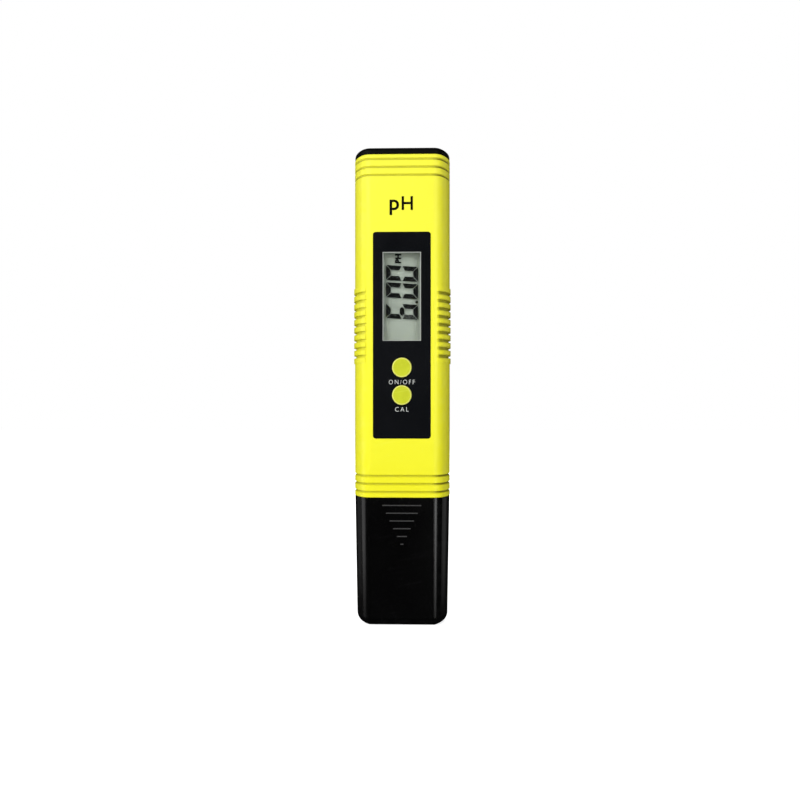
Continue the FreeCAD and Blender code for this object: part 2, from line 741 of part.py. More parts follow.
def main_pcb():
    """Glass-fibre board that carries the display, the switches and the circuit."""
    board = body("main_pcb")
    plate = sketch(board, "XZ_Plane", board_back)
    middle, height = (board_base + board_top) / 2, board_top - board_base
    rounded_rectangle(plate, 0.0, middle, board_width, height, screw_edge)
    for x, z in screw_places():
        circle(plate, x, z, screw_shank + 2 * close_fit)
    pad(board, plate, board_thickness)


def pcb_screws():
    """Pan-head screws through the board into the cradle's rails, each with a cross recess."""
    screws = []
    slot_depth, slot_length, slot_width = screw_head_height / 2, screw_head * 0.6, screw_head * 0.15
    sides = (("across", slot_length, slot_width), ("along", slot_width, slot_length))
    tip = screw_length - board_front
    for k, (x, z) in enumerate(screw_places()):
        head = rod(f"screw_head_{k + 1}", "front", x, -board_front, z, screw_head, screw_head_height)
        shank = rod(f"screw_shank_{k + 1}", "front", x, tip, z, screw_shank, screw_length)
        front = board_front + screw_head_height
        bars = [block(f"screw_slot_{k + 1}_{way}", x, front, z, width, slot_depth, height)
                for way, width, height in sides]
        whole = join(f"screw_whole_{k + 1}", [head, shank])
        screws.append(cut(f"screw_{k + 1}", whole, join(f"screw_cross_{k + 1}", bars)))
    keep(join("pcb_screws", screws, "Part::Compound"))


def chip(label, z, width, length, height, leads, pitch):
    """A dual-row chip on the board's back, its leads down both long sides."""
    package = body(label)
    case = sketch(package, "XZ_Plane", board_back - chip_lift)
    rectangle(case, 0.0, z, width, length)
    pad(package, case, height, backwards=True)
    feet = sketch(package, "XZ_Plane", board_back)
    rectangle(feet, 0.0, z - (leads / 2 - 1) * pitch / 2, width + 2 * lead_reach, pitch * 0.45)
    row = pad(package, feet, chip_lift + height * 0.3, backwards=True)
    repeat(package, row, "Z_Axis", pitch, leads // 2)


def small_parts():
    """Surface-mount capacitors and resistors in two staggered columns, and the crystal's can."""
    first = board_base + small_part_pitch * 7
    for label, side, height, count in (("smd_capacitors", -1, capacitor_height, 7),
                                       ("smd_resistors", 1, resistor_height, 9)):
        columns = [side * (small_part_column + k % 2 * small_part_length) for k in range(count)]
        pieces = [block(f"{label}_{k + 1}", x, board_back, first + k * small_part_pitch, small_part_width,
                        height, small_part_length) for k, x in enumerate(columns)]
        keep(join(label, pieces, "Part::Compound"))
    keep(rod("crystal_can", "up", 0.0, crystal_diameter / 2 - board_back, board_base + small_part_pitch * 8,
             crystal_diameter, crystal_length))


def chassis():
    """Moulded cradle behind the board: two rails, a back and a shelf under the battery drawer."""
    cradle = body("chassis")
    section = sketch(cradle, "XY_Plane", cradle_base)
    oval(section, bore_inset)
    pad(cradle, section, cradle_top - cradle_base)
    front_half = sketch(cradle, "XY_Plane", cradle_base)
    rectangle(front_half, 0.0, -(half_depth + board_back) / 2, case_width, half_depth - board_back)
    pocket(cradle, front_half, forwards=True)
    channel = sketch(cradle, "XY_Plane", cradle_base)
    back = half_depth - bore_inset - cradle_back
    rectangle(channel, 0.0, (back - board_back) / 2, board_width - 2 * rail_overlap, back + board_back)
    pocket(cradle, channel, cradle_top - cradle_base - cradle_back, forwards=True)
    pilots = sketch(cradle, "XZ_Plane", board_back)
    for x, z in screw_places():
        circle(pilots, x, z, screw_shank + 2 * press_fit)
    pocket(cradle, pilots, screw_length)


def battery_terminal(label, side):
    """Spring strip soldered to the board's front, arched over its top edge to touch the drawer's contact."""
    strip = body(label)
    bend = terminal_rise
    middle = board_front + terminal_thickness / 2
    peak = tray_base - close_fit - terminal_thickness / 2
    tail = board_top - 2 * bend
    path = sketch(strip, "YZ_Plane", side * terminal_spacing / 2)
    y, z, r = -number_of(middle), number_of(peak), number_of(bend)
    rise = line(path, (y, number_of(tail)), (y, z - r))
    turn = arc(path, y + r, z - r, r, math.pi / 2, math.pi)
    flat = line(path, (y + r, z), (0, z))
    fall = arc(path, 0, z - r, r, math.pi / 4, math.pi / 2)
    path.addConstraint(Sketcher.Constraint("Tangent", rise, END, turn, END))
    path.addConstraint(Sketcher.Constraint("Tangent", turn, START, flat, START))
    path.addConstraint(Sketcher.Constraint("Tangent", flat, END, fall, END))
    path.addConstraint(Sketcher.Constraint("Vertical", rise))
    path.addConstraint(Sketcher.Constraint("Horizontal", flat))
    dimension(path, "DistanceX", rise, START, *ORIGIN, value=middle)
    dimension(path, "DistanceY", *ORIGIN, rise, START, value=tail)
    dimension(path, "DistanceY", *ORIGIN, flat, START, value=peak)
    dimension(path, "Radius", turn, value=bend)
    dimension(path, "Radius", fall, value=bend)
    dimension(path, "DistanceX", *ORIGIN, fall, CENTRE, value=0.0)
    dimension(path, "DistanceX", *ORIGIN, fall, START, value=bend * 0.7)
    section = sketch(strip, "XY_Plane", tail)
    rectangle(section, side * terminal_spacing / 2, -middle, terminal_width, terminal_thickness)
    sweep(strip, section, path)


# ---------------------------------------------------------------- battery drawer
def battery_lid():
    """Black end cap of the drawer: a rounded head, and a plug with a groove for the seal."""
    lid = body("battery_lid")
    head = sketch(lid, "XY_Plane", lid_base)
    oval(head, cap_rim_inset)
    top = pad(lid, head, lid_head)
    round_edges(lid, top, lid_round, at_level(lid_base + lid_head))
    plug = sketch(lid, "XY_Plane", lid_base)
    oval(plug, bore_inset)
    pad(lid, plug, lid_plug_length, backwards=True)
    groove = sketch(lid, "XY_Plane", lid_seal_level - seal_cord / 2 - close_fit)
    oval(groove, case_wall - slide_fit)
    oval(groove, case_wall + press_fit + seal_cord + press_fit)
    pocket(lid, groove, seal_cord + 2 * close_fit, forwards=True)
    sockets = sketch(lid, "XY_Plane", plug_base)
    for side in (-1, 1):
        circle(sockets, side * peg_spacing / 2, 0.0, peg_diameter + 2 * press_fit)
    pocket(lid, sockets, peg_height + close_fit, forwards=True)


def ring_seal(label, level, wall):
    """A moulded rubber ring that follows the pen's section just inside a wall of the given inset."""
    ring = body(label)
    centre = wall + press_fit + seal_cord / 2
    path = sketch(ring, "XY_Plane", level)
    oval(path, centre)
    bead = sketch(ring, "YZ_Plane")
    circle(bead, centre - half_depth, level, seal_cord)
    sweep(ring, bead, path)


def battery_tray():
    """Open-fronted tray that holds the cells in a row, pegged to the lid and slotted for its contacts."""
    tray = body("battery_tray")
    section = sketch(tray, "XY_Plane", tray_base)
    oval(section, bore_inset)
    pad(tray, section, plug_base - tray_base)
    pegs = sketch(tray, "XY_Plane", plug_base)
    for side in (-1, 1):
        circle(pegs, side * peg_spacing / 2, 0.0, peg_diameter)
    pad(tray, pegs, peg_height)
    radius = cell_diameter / 2 + cell_clearance
    bay = sketch(tray, "YZ_Plane")
    circle(bay, 0.0, cell_level, 2 * radius)
    pocket(tray, bay, 2 * bay_half, middle=True)
    mouth = sketch(tray, "YZ_Plane")
    rectangle(mouth, -half_depth / 2, cell_level, half_depth, 2 * radius)
    pocket(tray, mouth, 2 * bay_half, middle=True)
    slots = sketch(tray, "XZ_Plane")
    for side in (-1, 1):
        contact_outline(slots, side, close_fit)
    pocket(tray, slots, contact_width + 2 * close_fit, middle=True)


def contact_outline(sk, side, clearance):
    """The L of a tray contact: a plate at the bay's end and a foot let into the tray's underside."""
    inner = side * (bay_half - clearance)
    outer = side * (bay_half + contact_thickness + clearance)
    toe = side * (bay_half - contact_foot - clearance)
    sole = tray_base + contact_thickness + clearance
    top = cell_level + contact_width / 2 + clearance
    bottom = tray_base - clearance + close_fit
    outline(sk, [(toe, bottom), (outer, bottom), (outer, top), (inner, top), (inner, sole), (toe, sole)])


def tray_contact(label, side):
    """Nickel-plated contact, bent to an L."""
    contact = body(label)
    profile = sketch(contact, "XZ_Plane")
    contact_outline(profile, side, 0.0)
    pad(contact, profile, contact_width, middle=True)


def button_cell(number):
    """One cell: a steel can and, facing the spring, its smaller negative cap."""
    left = (number - 1) * cell_thickness - bay_half
    can = rod(f"cell_can_{number}", "right", left, 0.0, cell_level, cell_diameter,
              cell_thickness - cell_cap_height)
    cap = rod(f"cell_cap_{number}", "right", left, 0.0, cell_level, cell_cap_diameter, cell_thickness)
    keep(join(f"button_cell_{number}", [can, cap]))


def cell_spring():
    """Conical wire spring between the last cell and the negative contact."""
    turns, start = 3, number_of(bay_half - spring_length + spring_wire / 2)
    height = number_of(spring_length - spring_wire)
    wide, narrow = number_of(spring_diameter - spring_wire) / 2, number_of(spring_diameter) / 4
    cone = -math.degrees(math.atan((wide - narrow) / height))
    coil = Part.makeHelix(height / turns, height, wide, cone)
    start_point, along = FreeCAD.Vector(wide, 0, 0), FreeCAD.Vector(0, 1, 0)
    ring = Part.Wire(Part.makeCircle(number_of(spring_wire) / 2, start_point, along))
    spring = doc.addObject("Part::Feature", "cell_spring")
    spring.Label = "cell_spring"
    spring.Shape = Part.Wire(coil.Edges).makePipeShell([ring], True, True)
    spring.Placement = FreeCAD.Placement(FreeCAD.Vector(start + height, 0, number_of(cell_level)),
                                         FreeCAD.Rotation(FreeCAD.Vector(0, 1, 0), -90))
    keep(spring)


# ---------------------------------------------------------------- cap
def protective_cap():
    """Tapered push-on cap: a socket for the collar, a narrower well for the probe, raised finger marks."""
    cap = body("protective_cap")
    slope = Size(f"atan({text_of(cap_taper)} / {text_of(cap_length)})",
                 math.degrees(math.atan(cap_taper.number / cap_length.number)))
    section = sketch(cap, "XY_Plane")
    oval(section, cap_rim_inset + cap_taper)
    outside = pad(cap, section, cap_length)
    bind(outside, "TaperAngle", slope)
    round_edges(cap, outside, cap_base_round, at_level(0.0))
    well = sketch(cap, "XY_Plane", cap_floor)
    oval(well, cap_rim_inset + cap_taper + cap_wall)
    pocket(cap, well, forwards=True)
    socket = sketch(cap, "XY_Plane", neck_base - slide_fit)
    oval(socket, cap_rim_inset + cap_wall)
    pocket(cap, socket, forwards=True)

    for k in range(mark_count):
        level = cap_length - mark_drop - k * mark_pitch
        face = half_depth - cap_rim_inset - cap_taper * (cap_length - level) / cap_length
        length = mark_length - k * mark_step
        mark = sketch(cap, "YZ_Plane")
        circle(mark, -face, level, 2 * mark_radius)
        pad(cap, mark, length, middle=True)


def storage_sponge():
    """Damp sponge on the cap's floor, which keeps the glass bulb moist."""
    sponge = body("storage_sponge")
    section = sketch(sponge, "XY_Plane", cap_floor)
    oval(section, cap_rim_inset + cap_taper + cap_wall + sponge_clearance)
    pad(sponge, section, sponge_height)


# ---------------------------------------------------------------- probe
def probe_collar():
    """Collar glued into the case's foot: a plug inside the case, and a neck with a seal for the cap."""
    collar = body("probe_collar")
    neck = sketch(collar, "XY_Plane", neck_base)
    oval(neck, neck_inset)
    lower = pad(collar, neck, neck_length)
    round_edges(collar, lower, edge_break, at_level(neck_base))
    plug = sketch(collar, "XY_Plane", case_base)
    oval(plug, case_wall + press_fit)
    pad(collar, plug, collar_plug_length)
    bore = sketch(collar, "XY_Plane", neck_base)
    circle(bore, 0.0, 0.0, electrode_diameter + 2 * close_fit)
    pocket(collar, bore, forwards=True)
    groove = sketch(collar, "XY_Plane", collar_seal_level - seal_cord / 2 - close_fit)
    oval(groove, cap_rim_inset + cap_wall - slide_fit)
    oval(groove, cap_rim_inset + cap_wall + press_fit + seal_cord + press_fit)
    pocket(collar, groove, seal_cord + 2 * close_fit, forwards=True)
    gland = sketch(collar, "XY_Plane", case_base)
    circle(gland, 0.0, 0.0, electrode_diameter + 2 * seal_cord + 2 * close_fit)
    pocket(collar, gland, seal_cord + 2 * close_fit, forwards=True)


def electrode_seal():
    """O-ring round the electrode's tube, in the collar's gland."""
    seal = doc.addObject("Part::Torus", "electrode_seal")
    seal.Label = "electrode_seal"
    bind(seal, "Radius1", electrode_diameter / 2 + press_fit + seal_cord / 2)
    bind(seal, "Radius2", seal_cord / 2)
    bind(seal, "Placement.Base.z", case_base + close_fit + seal_cord / 2)
    keep(seal)


def electrode_body():
    """Plastic tube of the electrode: a slotted guard round the bulb, a cross plate and a barrel above it."""
    tube = body("electrode_body")
    outside = sketch(tube, "XY_Plane", electrode_base)
    circle(outside, 0.0, 0.0, electrode_diameter)
    barrel = pad(tube, outside, electrode_top - electrode_base)
    round_edges(tube, barrel, edge_break, at_level(electrode_base))
    for base, length in ((electrode_base, guard_height), (guard_plate_top, electrode_top - guard_plate_top)):
        hollow = sketch(tube, "XY_Plane", base)
        circle(hollow, 0.0, 0.0, electrode_diameter - 2 * electrode_wall)
        pocket(tube, hollow, length, forwards=True)
    holes = sketch(tube, "XY_Plane", guard_top)
    passages = ((0.0, stem_diameter), (probe_ring, sensor_diameter), (-probe_ring, junction_diameter))
    for x, diameter in passages:
        circle(holes, x, 0.0, diameter + 2 * close_fit)
    pocket(tube, holes, guard_plate, forwards=True)
    for plane in ("XZ_Plane", "YZ_Plane"):
        slot = sketch(tube, plane)
        rise = guard_height - electrode_wall
        rectangle(slot, 0.0, electrode_base + rise / 2, guard_slot, rise)
        pocket(tube, slot, middle=True)


def glass_electrode():
    """Glass stem with a thin blown bulb at its foot."""
    glass = body("glass_electrode")
    centre = electrode_base + bulb_recess + bulb_diameter / 2
    profile = sketch(glass, "XZ_Plane")
    ball, stem = bulb_diameter / 2, stem_diameter / 2
    rise = root(ball * ball - stem * stem)
    inner_ball, inner_stem = ball - glass_wall, stem - glass_wall
    inner_rise = root(inner_ball * inner_ball - inner_stem * inner_stem)
    z = number_of(centre)
    angle = math.atan2(number_of(rise), number_of(stem))
    inner_angle = math.atan2(number_of(inner_rise), number_of(inner_stem))
    top = number_of(potting_base)
    bulb = arc(profile, 0, z, number_of(ball), -math.pi / 2, angle)
    side = line(profile, (number_of(stem), z + number_of(rise)), (number_of(stem), top))
    rim = line(profile, (number_of(stem), top), (number_of(inner_stem), top))
    inside = line(profile, (number_of(inner_stem), top), (number_of(inner_stem), z + number_of(inner_rise)))
    hollow = arc(profile, 0, z, number_of(inner_ball), -math.pi / 2, inner_angle)
    tip = line(profile, (0, z - number_of(inner_ball)), (0, z - number_of(ball)))
    for first, first_end, second, second_end in (
            (bulb, END, side, START), (side, END, rim, START), (rim, END, inside, START),
            (inside, END, hollow, END), (hollow, START, tip, START), (tip, END, bulb, START)):
        profile.addConstraint(Sketcher.Constraint("Coincident", first, first_end, second, second_end))
    for upright in (side, inside):
        profile.addConstraint(Sketcher.Constraint("Vertical", upright))
    profile.addConstraint(Sketcher.Constraint("Horizontal", rim))
    profile.addConstraint(Sketcher.Constraint("Coincident", hollow, CENTRE, bulb, CENTRE))
    profile.addConstraint(Sketcher.Constraint("PointOnObject", bulb, CENTRE, -2))
    for end in (START, END):
        profile.addConstraint(Sketcher.Constraint("PointOnObject", tip, end, -2))
    dimension(profile, "DistanceY", *ORIGIN, bulb, CENTRE, value=centre)
    dimension(profile, "Radius", bulb, value=ball)
    dimension(profile, "Radius", hollow, value=inner_ball)
    dimension(profile, "DistanceX", *ORIGIN, side, START, value=stem)
    dimension(profile, "DistanceX", *ORIGIN, inside, START, value=inner_stem)
    dimension(profile, "DistanceY", *ORIGIN, rim, START, value=potting_base)
    turned = glass.newObject("PartDesign::Revolution", "glass_turned")
    turned.Profile = profile
    turned.ReferenceAxis = (profile, ["V_Axis"])
    turned.Angle = 360


def probe_internals():
    """Wires, reference junction, potting plug and the steel temperature sensor inside the electrode."""
    inner_end = electrode_base + bulb_recess + bulb_diameter / 2
    outer_end = guard_plate_top + guard_plate
    keep(rod("inner_reference_wire", "up", 0.0, 0.0, inner_end, wire_diameter, wire_top - inner_end))
    keep(rod("outer_reference_wire", "up", -probe_ring, 0.0, outer_end, wire_diameter, wire_top - outer_end))
    keep(rod("reference_junction", "up", -probe_ring, 0.0, guard_top, junction_diameter, guard_plate))

    bore = sensor_diameter - 2 * sensor_wall
    height = potting_base - sensor_base
    sheath = rod("sensor_sheath", "up", probe_ring, 0.0, sensor_base, sensor_diameter, height)
    inside = rod("sensor_inside", "up", probe_ring, 0.0, sensor_base + sensor_wall, bore, height)
    keep(cut("temperature_probe", sheath, inside))
    keep(rod("thermistor_bead", "up", probe_ring, 0.0, bead_base, bore - 2 * close_fit, bead_top - bead_base))

    plug = body("electrode_plug")
    disc = sketch(plug, "XY_Plane", potting_base)
    circle(disc, 0.0, 0.0, electrode_diameter - 2 * electrode_wall - 2 * press_fit)
    for x in (0.0, -probe_ring):
        circle(disc, x, 0.0, wire_diameter + 2 * press_fit)
    for side in (-1, 1):
        circle(disc, probe_ring, side * fine_lead_offset, fine_lead_diameter + 2 * press_fit)
    pad(plug, disc, potting_height)


def lead(points, diameter):
    """A tube along straight runs joined by arcs, each as large as its two runs allow."""
    places = [FreeCAD.Vector(*(number_of(v) for v in point)) for point in points]
    edges, last = [], places[0]
    for before, corner, after in zip(places, places[1:], places[2:]):
        into, out = corner - before, after - corner
        turn = into.getAngle(out)
        reach = 0.45 * min(into.Length, out.Length)
        radius = reach / math.tan(turn / 2)
        start = corner - into.normalize() * reach
        end = corner + out.normalize() * reach
        inward = (out - into).normalize()
        middle = corner + inward * (math.hypot(radius, reach) - radius)
        edges += [Part.LineSegment(last, start).toShape(), Part.Arc(start, middle, end).toShape()]
        last = end
        print(f"lead bend radius {radius:.2f} mm")
    edges.append(Part.LineSegment(last, places[-1]).toShape())
    path = Part.Wire(edges)
    section = Part.Wire(Part.makeCircle(number_of(diameter) / 2, places[0], places[1] - places[0]))
    tube = path.makePipeShell([section], True, False)
    expected = math.pi * (number_of(diameter) / 2) ** 2 * path.Length
    print(f"lead volume {tube.Volume:.3f}, section times length {expected:.3f}")
    return tube


def lead_node(label, tubes):
    made = doc.addObject("Part::Feature", label)
    made.Label = label
    made.Shape = tubes[0] if len(tubes) == 1 else Part.makeCompound(tubes)
    keep(made)


def lead_to_board(x, y, start, straight_top, pad_x, pad_rise, diameter):
    """A lead that rises from the probe, swings behind the board and meets its back square on."""
    level = board_base + pad_rise
    back = lead_stand_off - board_back + y
    middle = ((x + pad_x) / 2, back, (straight_top + level) / 2)
    return lead([(x, y, start), (x, y, straight_top), middle, (pad_x, back, level),
                 (pad_x, -board_back, level)], diameter)


def probe_leads():
    """Leads from the electrode's wires and the thermistor up to solder points on the board's back."""
    for label, x, pad_x, pad_rise in (("signal_lead", 0.0, signal_pad_x, signal_pad_rise),
                                      ("reference_lead", -probe_ring, reference_pad_x, reference_pad_rise)):
        lead_node(label, [lead_to_board(x, 0.0, wire_top, wire_top + 2 * lead_diameter, pad_x, pad_rise,
                                        lead_diameter)])
    lead_node("thermistor_leads", [
        lead_to_board(probe_ring, side * fine_lead_offset, bead_top, wire_top + 2 * lead_diameter,
                      sensor_pad_x + side * fine_lead_diameter, sensor_pad_rise, fine_lead_diameter)
        for side in (-1, 1)])


# ---------------------------------------------------------------- assembly
main_housing()
front_fascia()
window_lens()
for name, level in (("power", power_key_level), ("cal", cal_key_level)):
    key(f"{name}_button", level)
    key_switch(name, level)
display()
main_pcb()
pcb_screws()
chip("mcu_chip", window_middle, mcu_width, mcu_length, mcu_height, mcu_leads, mcu_pitch)
chip("opamp_chip", board_base + small_part_pitch * 4, opamp_width, opamp_length, opamp_height, opamp_leads,
     opamp_pitch)
small_parts()
chassis()
battery_terminal("battery_terminal_positive", -1)
battery_terminal("battery_terminal_negative", 1)
battery_lid()
ring_seal("battery_lid_seal", lid_seal_level, case_wall)
battery_tray()
tray_contact("tray_contact_positive", -1)
tray_contact("tray_contact_negative", 1)
for number in range(1, cell_count + 1):
    button_cell(number)
cell_spring()
protective_cap()
storage_sponge()
probe_collar()
ring_seal("collar_seal", collar_seal_level, cap_rim_inset + cap_wall)
electrode_seal()
electrode_body()
glass_electrode()
probe_internals()
probe_leads()

doc.recompute()
for thing in doc.Objects:
    if "Invalid" in thing.State or "Error" in thing.State:
        raise RuntimeError(f"{thing.Label} failed: {thing.State}")
for node in nodes:
    if node.Shape.isNull() or not node.Shape.isValid() or not node.Shape.Solids:
        raise RuntimeError(f"{node.Label} has no valid solid")
os.makedirs("parts", exist_ok=True)
for node in nodes:
    node.Shape.exportStep(f"parts/{node.Label}.step")
print(f"{len(nodes)} sub-parts written")
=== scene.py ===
import math

import bpy
from mathutils import Matrix, Vector


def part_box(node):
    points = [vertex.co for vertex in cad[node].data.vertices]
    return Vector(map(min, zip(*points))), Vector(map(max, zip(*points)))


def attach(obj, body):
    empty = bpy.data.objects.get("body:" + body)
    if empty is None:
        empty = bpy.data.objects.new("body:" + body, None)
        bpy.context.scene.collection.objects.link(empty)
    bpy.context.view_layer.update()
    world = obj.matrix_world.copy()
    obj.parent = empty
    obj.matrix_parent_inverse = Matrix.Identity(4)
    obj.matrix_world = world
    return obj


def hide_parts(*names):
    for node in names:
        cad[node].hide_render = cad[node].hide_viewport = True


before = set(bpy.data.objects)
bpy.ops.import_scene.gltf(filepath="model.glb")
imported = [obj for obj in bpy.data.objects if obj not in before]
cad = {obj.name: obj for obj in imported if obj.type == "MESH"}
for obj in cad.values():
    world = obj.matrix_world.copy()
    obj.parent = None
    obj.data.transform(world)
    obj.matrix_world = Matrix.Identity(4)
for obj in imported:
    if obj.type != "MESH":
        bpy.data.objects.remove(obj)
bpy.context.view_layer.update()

scene = bpy.context.scene
bpy.ops.object.select_all(action="DESELECT")


# ------------------------------------------------------------------ table, lights and camera
# The pen stands upright on a plain white table. A large soft light above the front lights the faces, and tall ones
# at the left and right draw the long bright lines down the rounded edges. Weak ones behind light the back.
def add(tree, kind, inputs=None, **options):
    """Adds a node with its options set, and fills its inputs with plain values or other nodes' outputs."""
    node = tree.nodes.new("ShaderNode" + kind)
    for option, value in options.items():
        setattr(node, option, value)
    for socket, value in (inputs or {}).items():
        if isinstance(value, bpy.types.NodeSocket):
            tree.links.new(value, node.inputs[socket])
        else:
            node.inputs[socket].default_value = value
    return node


def new_material(name, plain):
    """A material with one Principled shader, whose unvarying values are set on its own sockets."""
    made = bpy.data.materials.new(name)
    made.use_nodes = True
    shader = made.node_tree.nodes["Principled BSDF"]
    for socket, value in plain.items():
        shader.inputs[socket].default_value = value
    return made, made.node_tree, shader


def blend_colour(tree, share, first, second):
    """Mixes two colours, each a plain one or a socket, by a share that is a number or a socket."""
    node = add(tree, "Mix", data_type="RGBA")
    for slot, value in ((0, share), (6, first), (7, second)):
        if isinstance(value, bpy.types.NodeSocket):
            tree.links.new(value, node.inputs[slot])
        else:
            node.inputs[slot].default_value = value if slot == 0 else (*value, 1.0)
    return node.outputs[2]


def bump(tree, shader, height, strength, distance):
    """Raises a material's surface by a height pattern."""
    node = add(tree, "Bump", {"Height": height, "Strength": strength, "Distance": distance})
    tree.links.new(node.outputs["Normal"], shader.inputs["Normal"])


bpy.ops.mesh.primitive_plane_add(size=3.0, location=(0, 0, -0.00002))
table = bpy.context.object
table.name = "table"
table.visible_glossy = False
paint, tree, shader = new_material("table_white", {"Roughness": 0.9, "Specular IOR Level": 0.0})
cloud = add(tree, "TexNoise", {"Scale": 6.0, "Detail": 2.0})
tree.links.new(blend_colour(tree, cloud.outputs["Fac"], (0.93, 0.93, 0.93), (0.95, 0.95, 0.95)),
               shader.inputs["Base Color"])
ray = add(tree, "LightPath")
away = add(tree, "VectorMath", {0: add(tree, "TexCoord").outputs["Object"]}, operation="LENGTH")
glow = add(tree, "MapRange", {"Value": away.outputs["Value"], "From Min": 0.03, "From Max": 0.35, "To Min": 0.8,
                              "To Max": 1.0})
lit = add(tree, "Math", {0: glow.outputs["Result"], 1: ray.outputs["Is Camera Ray"]}, operation="MULTIPLY")
shader.inputs["Emission Color"].default_value = (1.0, 1.0, 1.0, 1.0)
tree.links.new(lit.outputs[0], shader.inputs["Emission Strength"])
table.data.materials.append(paint)

scene.view_settings.view_transform = "Standard"
scene.cycles.transparent_max_bounces = 32
scene.world = bpy.data.worlds.new("studio")
scene.world.use_nodes = True
tree = scene.world.node_tree
seen = add(tree, "Background", {"Color": (1.0, 1.0, 1.0, 1.0), "Strength": 1.0})
felt = add(tree, "Background", {"Color": (0.98, 0.99, 1.0, 1.0), "Strength": 0.16})
mirrored = add(tree, "Background", {"Color": (1.0, 1.0, 1.0, 1.0), "Strength": 0.008})
path = add(tree, "LightPath")
dim = add(tree, "MixShader", {0: path.outputs["Is Glossy Ray"], 1: felt.outputs[0], 2: mirrored.outputs[0]})
shown = add(tree, "MixShader", {0: path.outputs["Is Camera Ray"], 1: dim.outputs[0], 2: seen.outputs[0]})
tree.links.new(shown.outputs[0], tree.nodes["World Output"].inputs["Surface"])

PEN_MIDDLE = Vector((-0.00081, 0.0, 0.0738))
CAMERA_TURN, CAMERA_DISTANCE, FOCAL_LENGTH, SENSOR_WIDTH = 1.4, 0.246, 32.9, 36.0


def out_from(middle, azimuth, elevation, distance):
    """The point at that distance in a direction; azimuth 0 is in front of the pen and 90 is to its right."""
    turn, lift = math.radians(azimuth), math.radians(elevation)
    return middle + distance * Vector((math.sin(turn) * math.cos(lift), -math.cos(turn) * math.cos(lift),
                                       math.sin(lift)))


def soft_light(name, azimuth, elevation, distance, width, height, watts, mirrored=True):
    """A rectangular soft light that faces the pen; one that isn't mirrored leaves no highlight in gloss."""
    lamp = bpy.data.lights.new(name, "AREA")
    lamp.shape, lamp.size, lamp.size_y, lamp.energy = "RECTANGLE", width, height, watts
    held = bpy.data.objects.new(name, lamp)
    held.location = out_from(PEN_MIDDLE, azimuth, elevation, distance)
    held.rotation_euler = (PEN_MIDDLE - held.location).to_track_quat("-Z", "Y").to_euler()
    held.visible_glossy = held.visible_transmission = mirrored
    scene.collection.objects.link(held)


soft_light("light_above_front", -30, 28, 0.75, 0.50, 0.40, 1.9)
soft_light("light_front", -16, 6, 0.75, 0.40, 0.40, 1.8, mirrored=False)
soft_light("light_left", -80, 4, 0.70, 0.50, 0.60, 1.1)
soft_light("light_right", 27, 2, 0.70, 0.22, 0.55, 1.5)
soft_light("light_right_behind", 116, 4, 0.70, 0.30, 0.60, 0.16)
soft_light("light_left_behind", -122, 4, 0.70, 0.35, 0.60, 0.08)
soft_light("light_behind", 180, 25, 0.75, 0.30, 0.30, 2.2, mirrored=False)

lens = bpy.data.cameras.new("camera")
lens.lens, lens.sensor_width = FOCAL_LENGTH, SENSOR_WIDTH
camera = bpy.data.objects.new("camera", lens)
camera.location = out_from(PEN_MIDDLE, CAMERA_TURN, 0.0, CAMERA_DISTANCE)
camera.rotation_euler = (PEN_MIDDLE - camera.location).to_track_quat("-Z", "Y").to_euler()
scene.collection.objects.link(camera)
scene.camera = camera


# ------------------------------------------------------------------ yellow case
# One piece of injection-moulded ABS, open at both ends, with rings at each end and grip ribs on the sides.
# It is semi-gloss and has a fine spark-eroded grain. The measure's name is printed on it in black.
def node_group(name, entries, results):
    """An empty shader node group; returns its tree, its inputs by name and its output node."""
    made = bpy.data.node_groups.new(name, "ShaderNodeTree")
    for entry, value in entries.items():
        kind = "NodeSocketVector" if isinstance(value, tuple) else "NodeSocketFloat"
        made.interface.new_socket(entry, in_out="INPUT", socket_type=kind).default_value = value
    for result in results:
        made.interface.new_socket(result, in_out="OUTPUT", socket_type="NodeSocketFloat")
    return made, made.nodes.new("NodeGroupInput").outputs, made.nodes.new("NodeGroupOutput")


def fit_range(tree, value, low, high, to_low=0.0, to_high=1.0):
    """Maps a value from one range to another, without overshoot."""
    return add(tree, "MapRange", {"Value": value, "From Min": low, "From Max": high, "To Min": to_low,
                                  "To Max": to_high}).outputs["Result"]


def sums(tree, operation, first, second=0.0, third=0.0):
    """One arithmetic step on numbers or sockets."""
    return add(tree, "Math", {0: first, 1: second, 2: third}, operation=operation).outputs[0]


moulded_skin, given, result = node_group(
    "moulded_skin", {"Grain": 2500.0, "Flow": 45.0, "Smoothest": 0.3, "Dullest": 0.4},
    ["Tone", "Roughness", "Height"])
place = add(moulded_skin, "TexCoord").outputs["Object"]
grain = add(moulded_skin, "TexNoise", {"Vector": place, "Scale": given["Grain"], "Detail": 3.0, "Roughness": 0.6})
flow = add(moulded_skin, "TexNoise", {"Vector": place, "Scale": given["Flow"], "Detail": 2.0, "Distortion": 0.4})
moulded_skin.links.new(fit_range(moulded_skin, flow.outputs["Fac"], 0.3, 0.7), result.inputs["Tone"])
moulded_skin.links.new(fit_range(moulded_skin, sums(moulded_skin, "MULTIPLY_ADD", grain.outputs["Fac"], 0.3,
                                                    sums(moulded_skin, "MULTIPLY", flow.outputs["Fac"], 0.7)),
                                 0.35, 0.65, given["Smoothest"], given["Dullest"]), result.inputs["Roughness"])
moulded_skin.links.new(sums(moulded_skin, "MULTIPLY_ADD", grain.outputs["Fac"], 0.4,
                            sums(moulded_skin, "MULTIPLY", flow.outputs["Fac"], 0.6)), result.inputs["Height"])

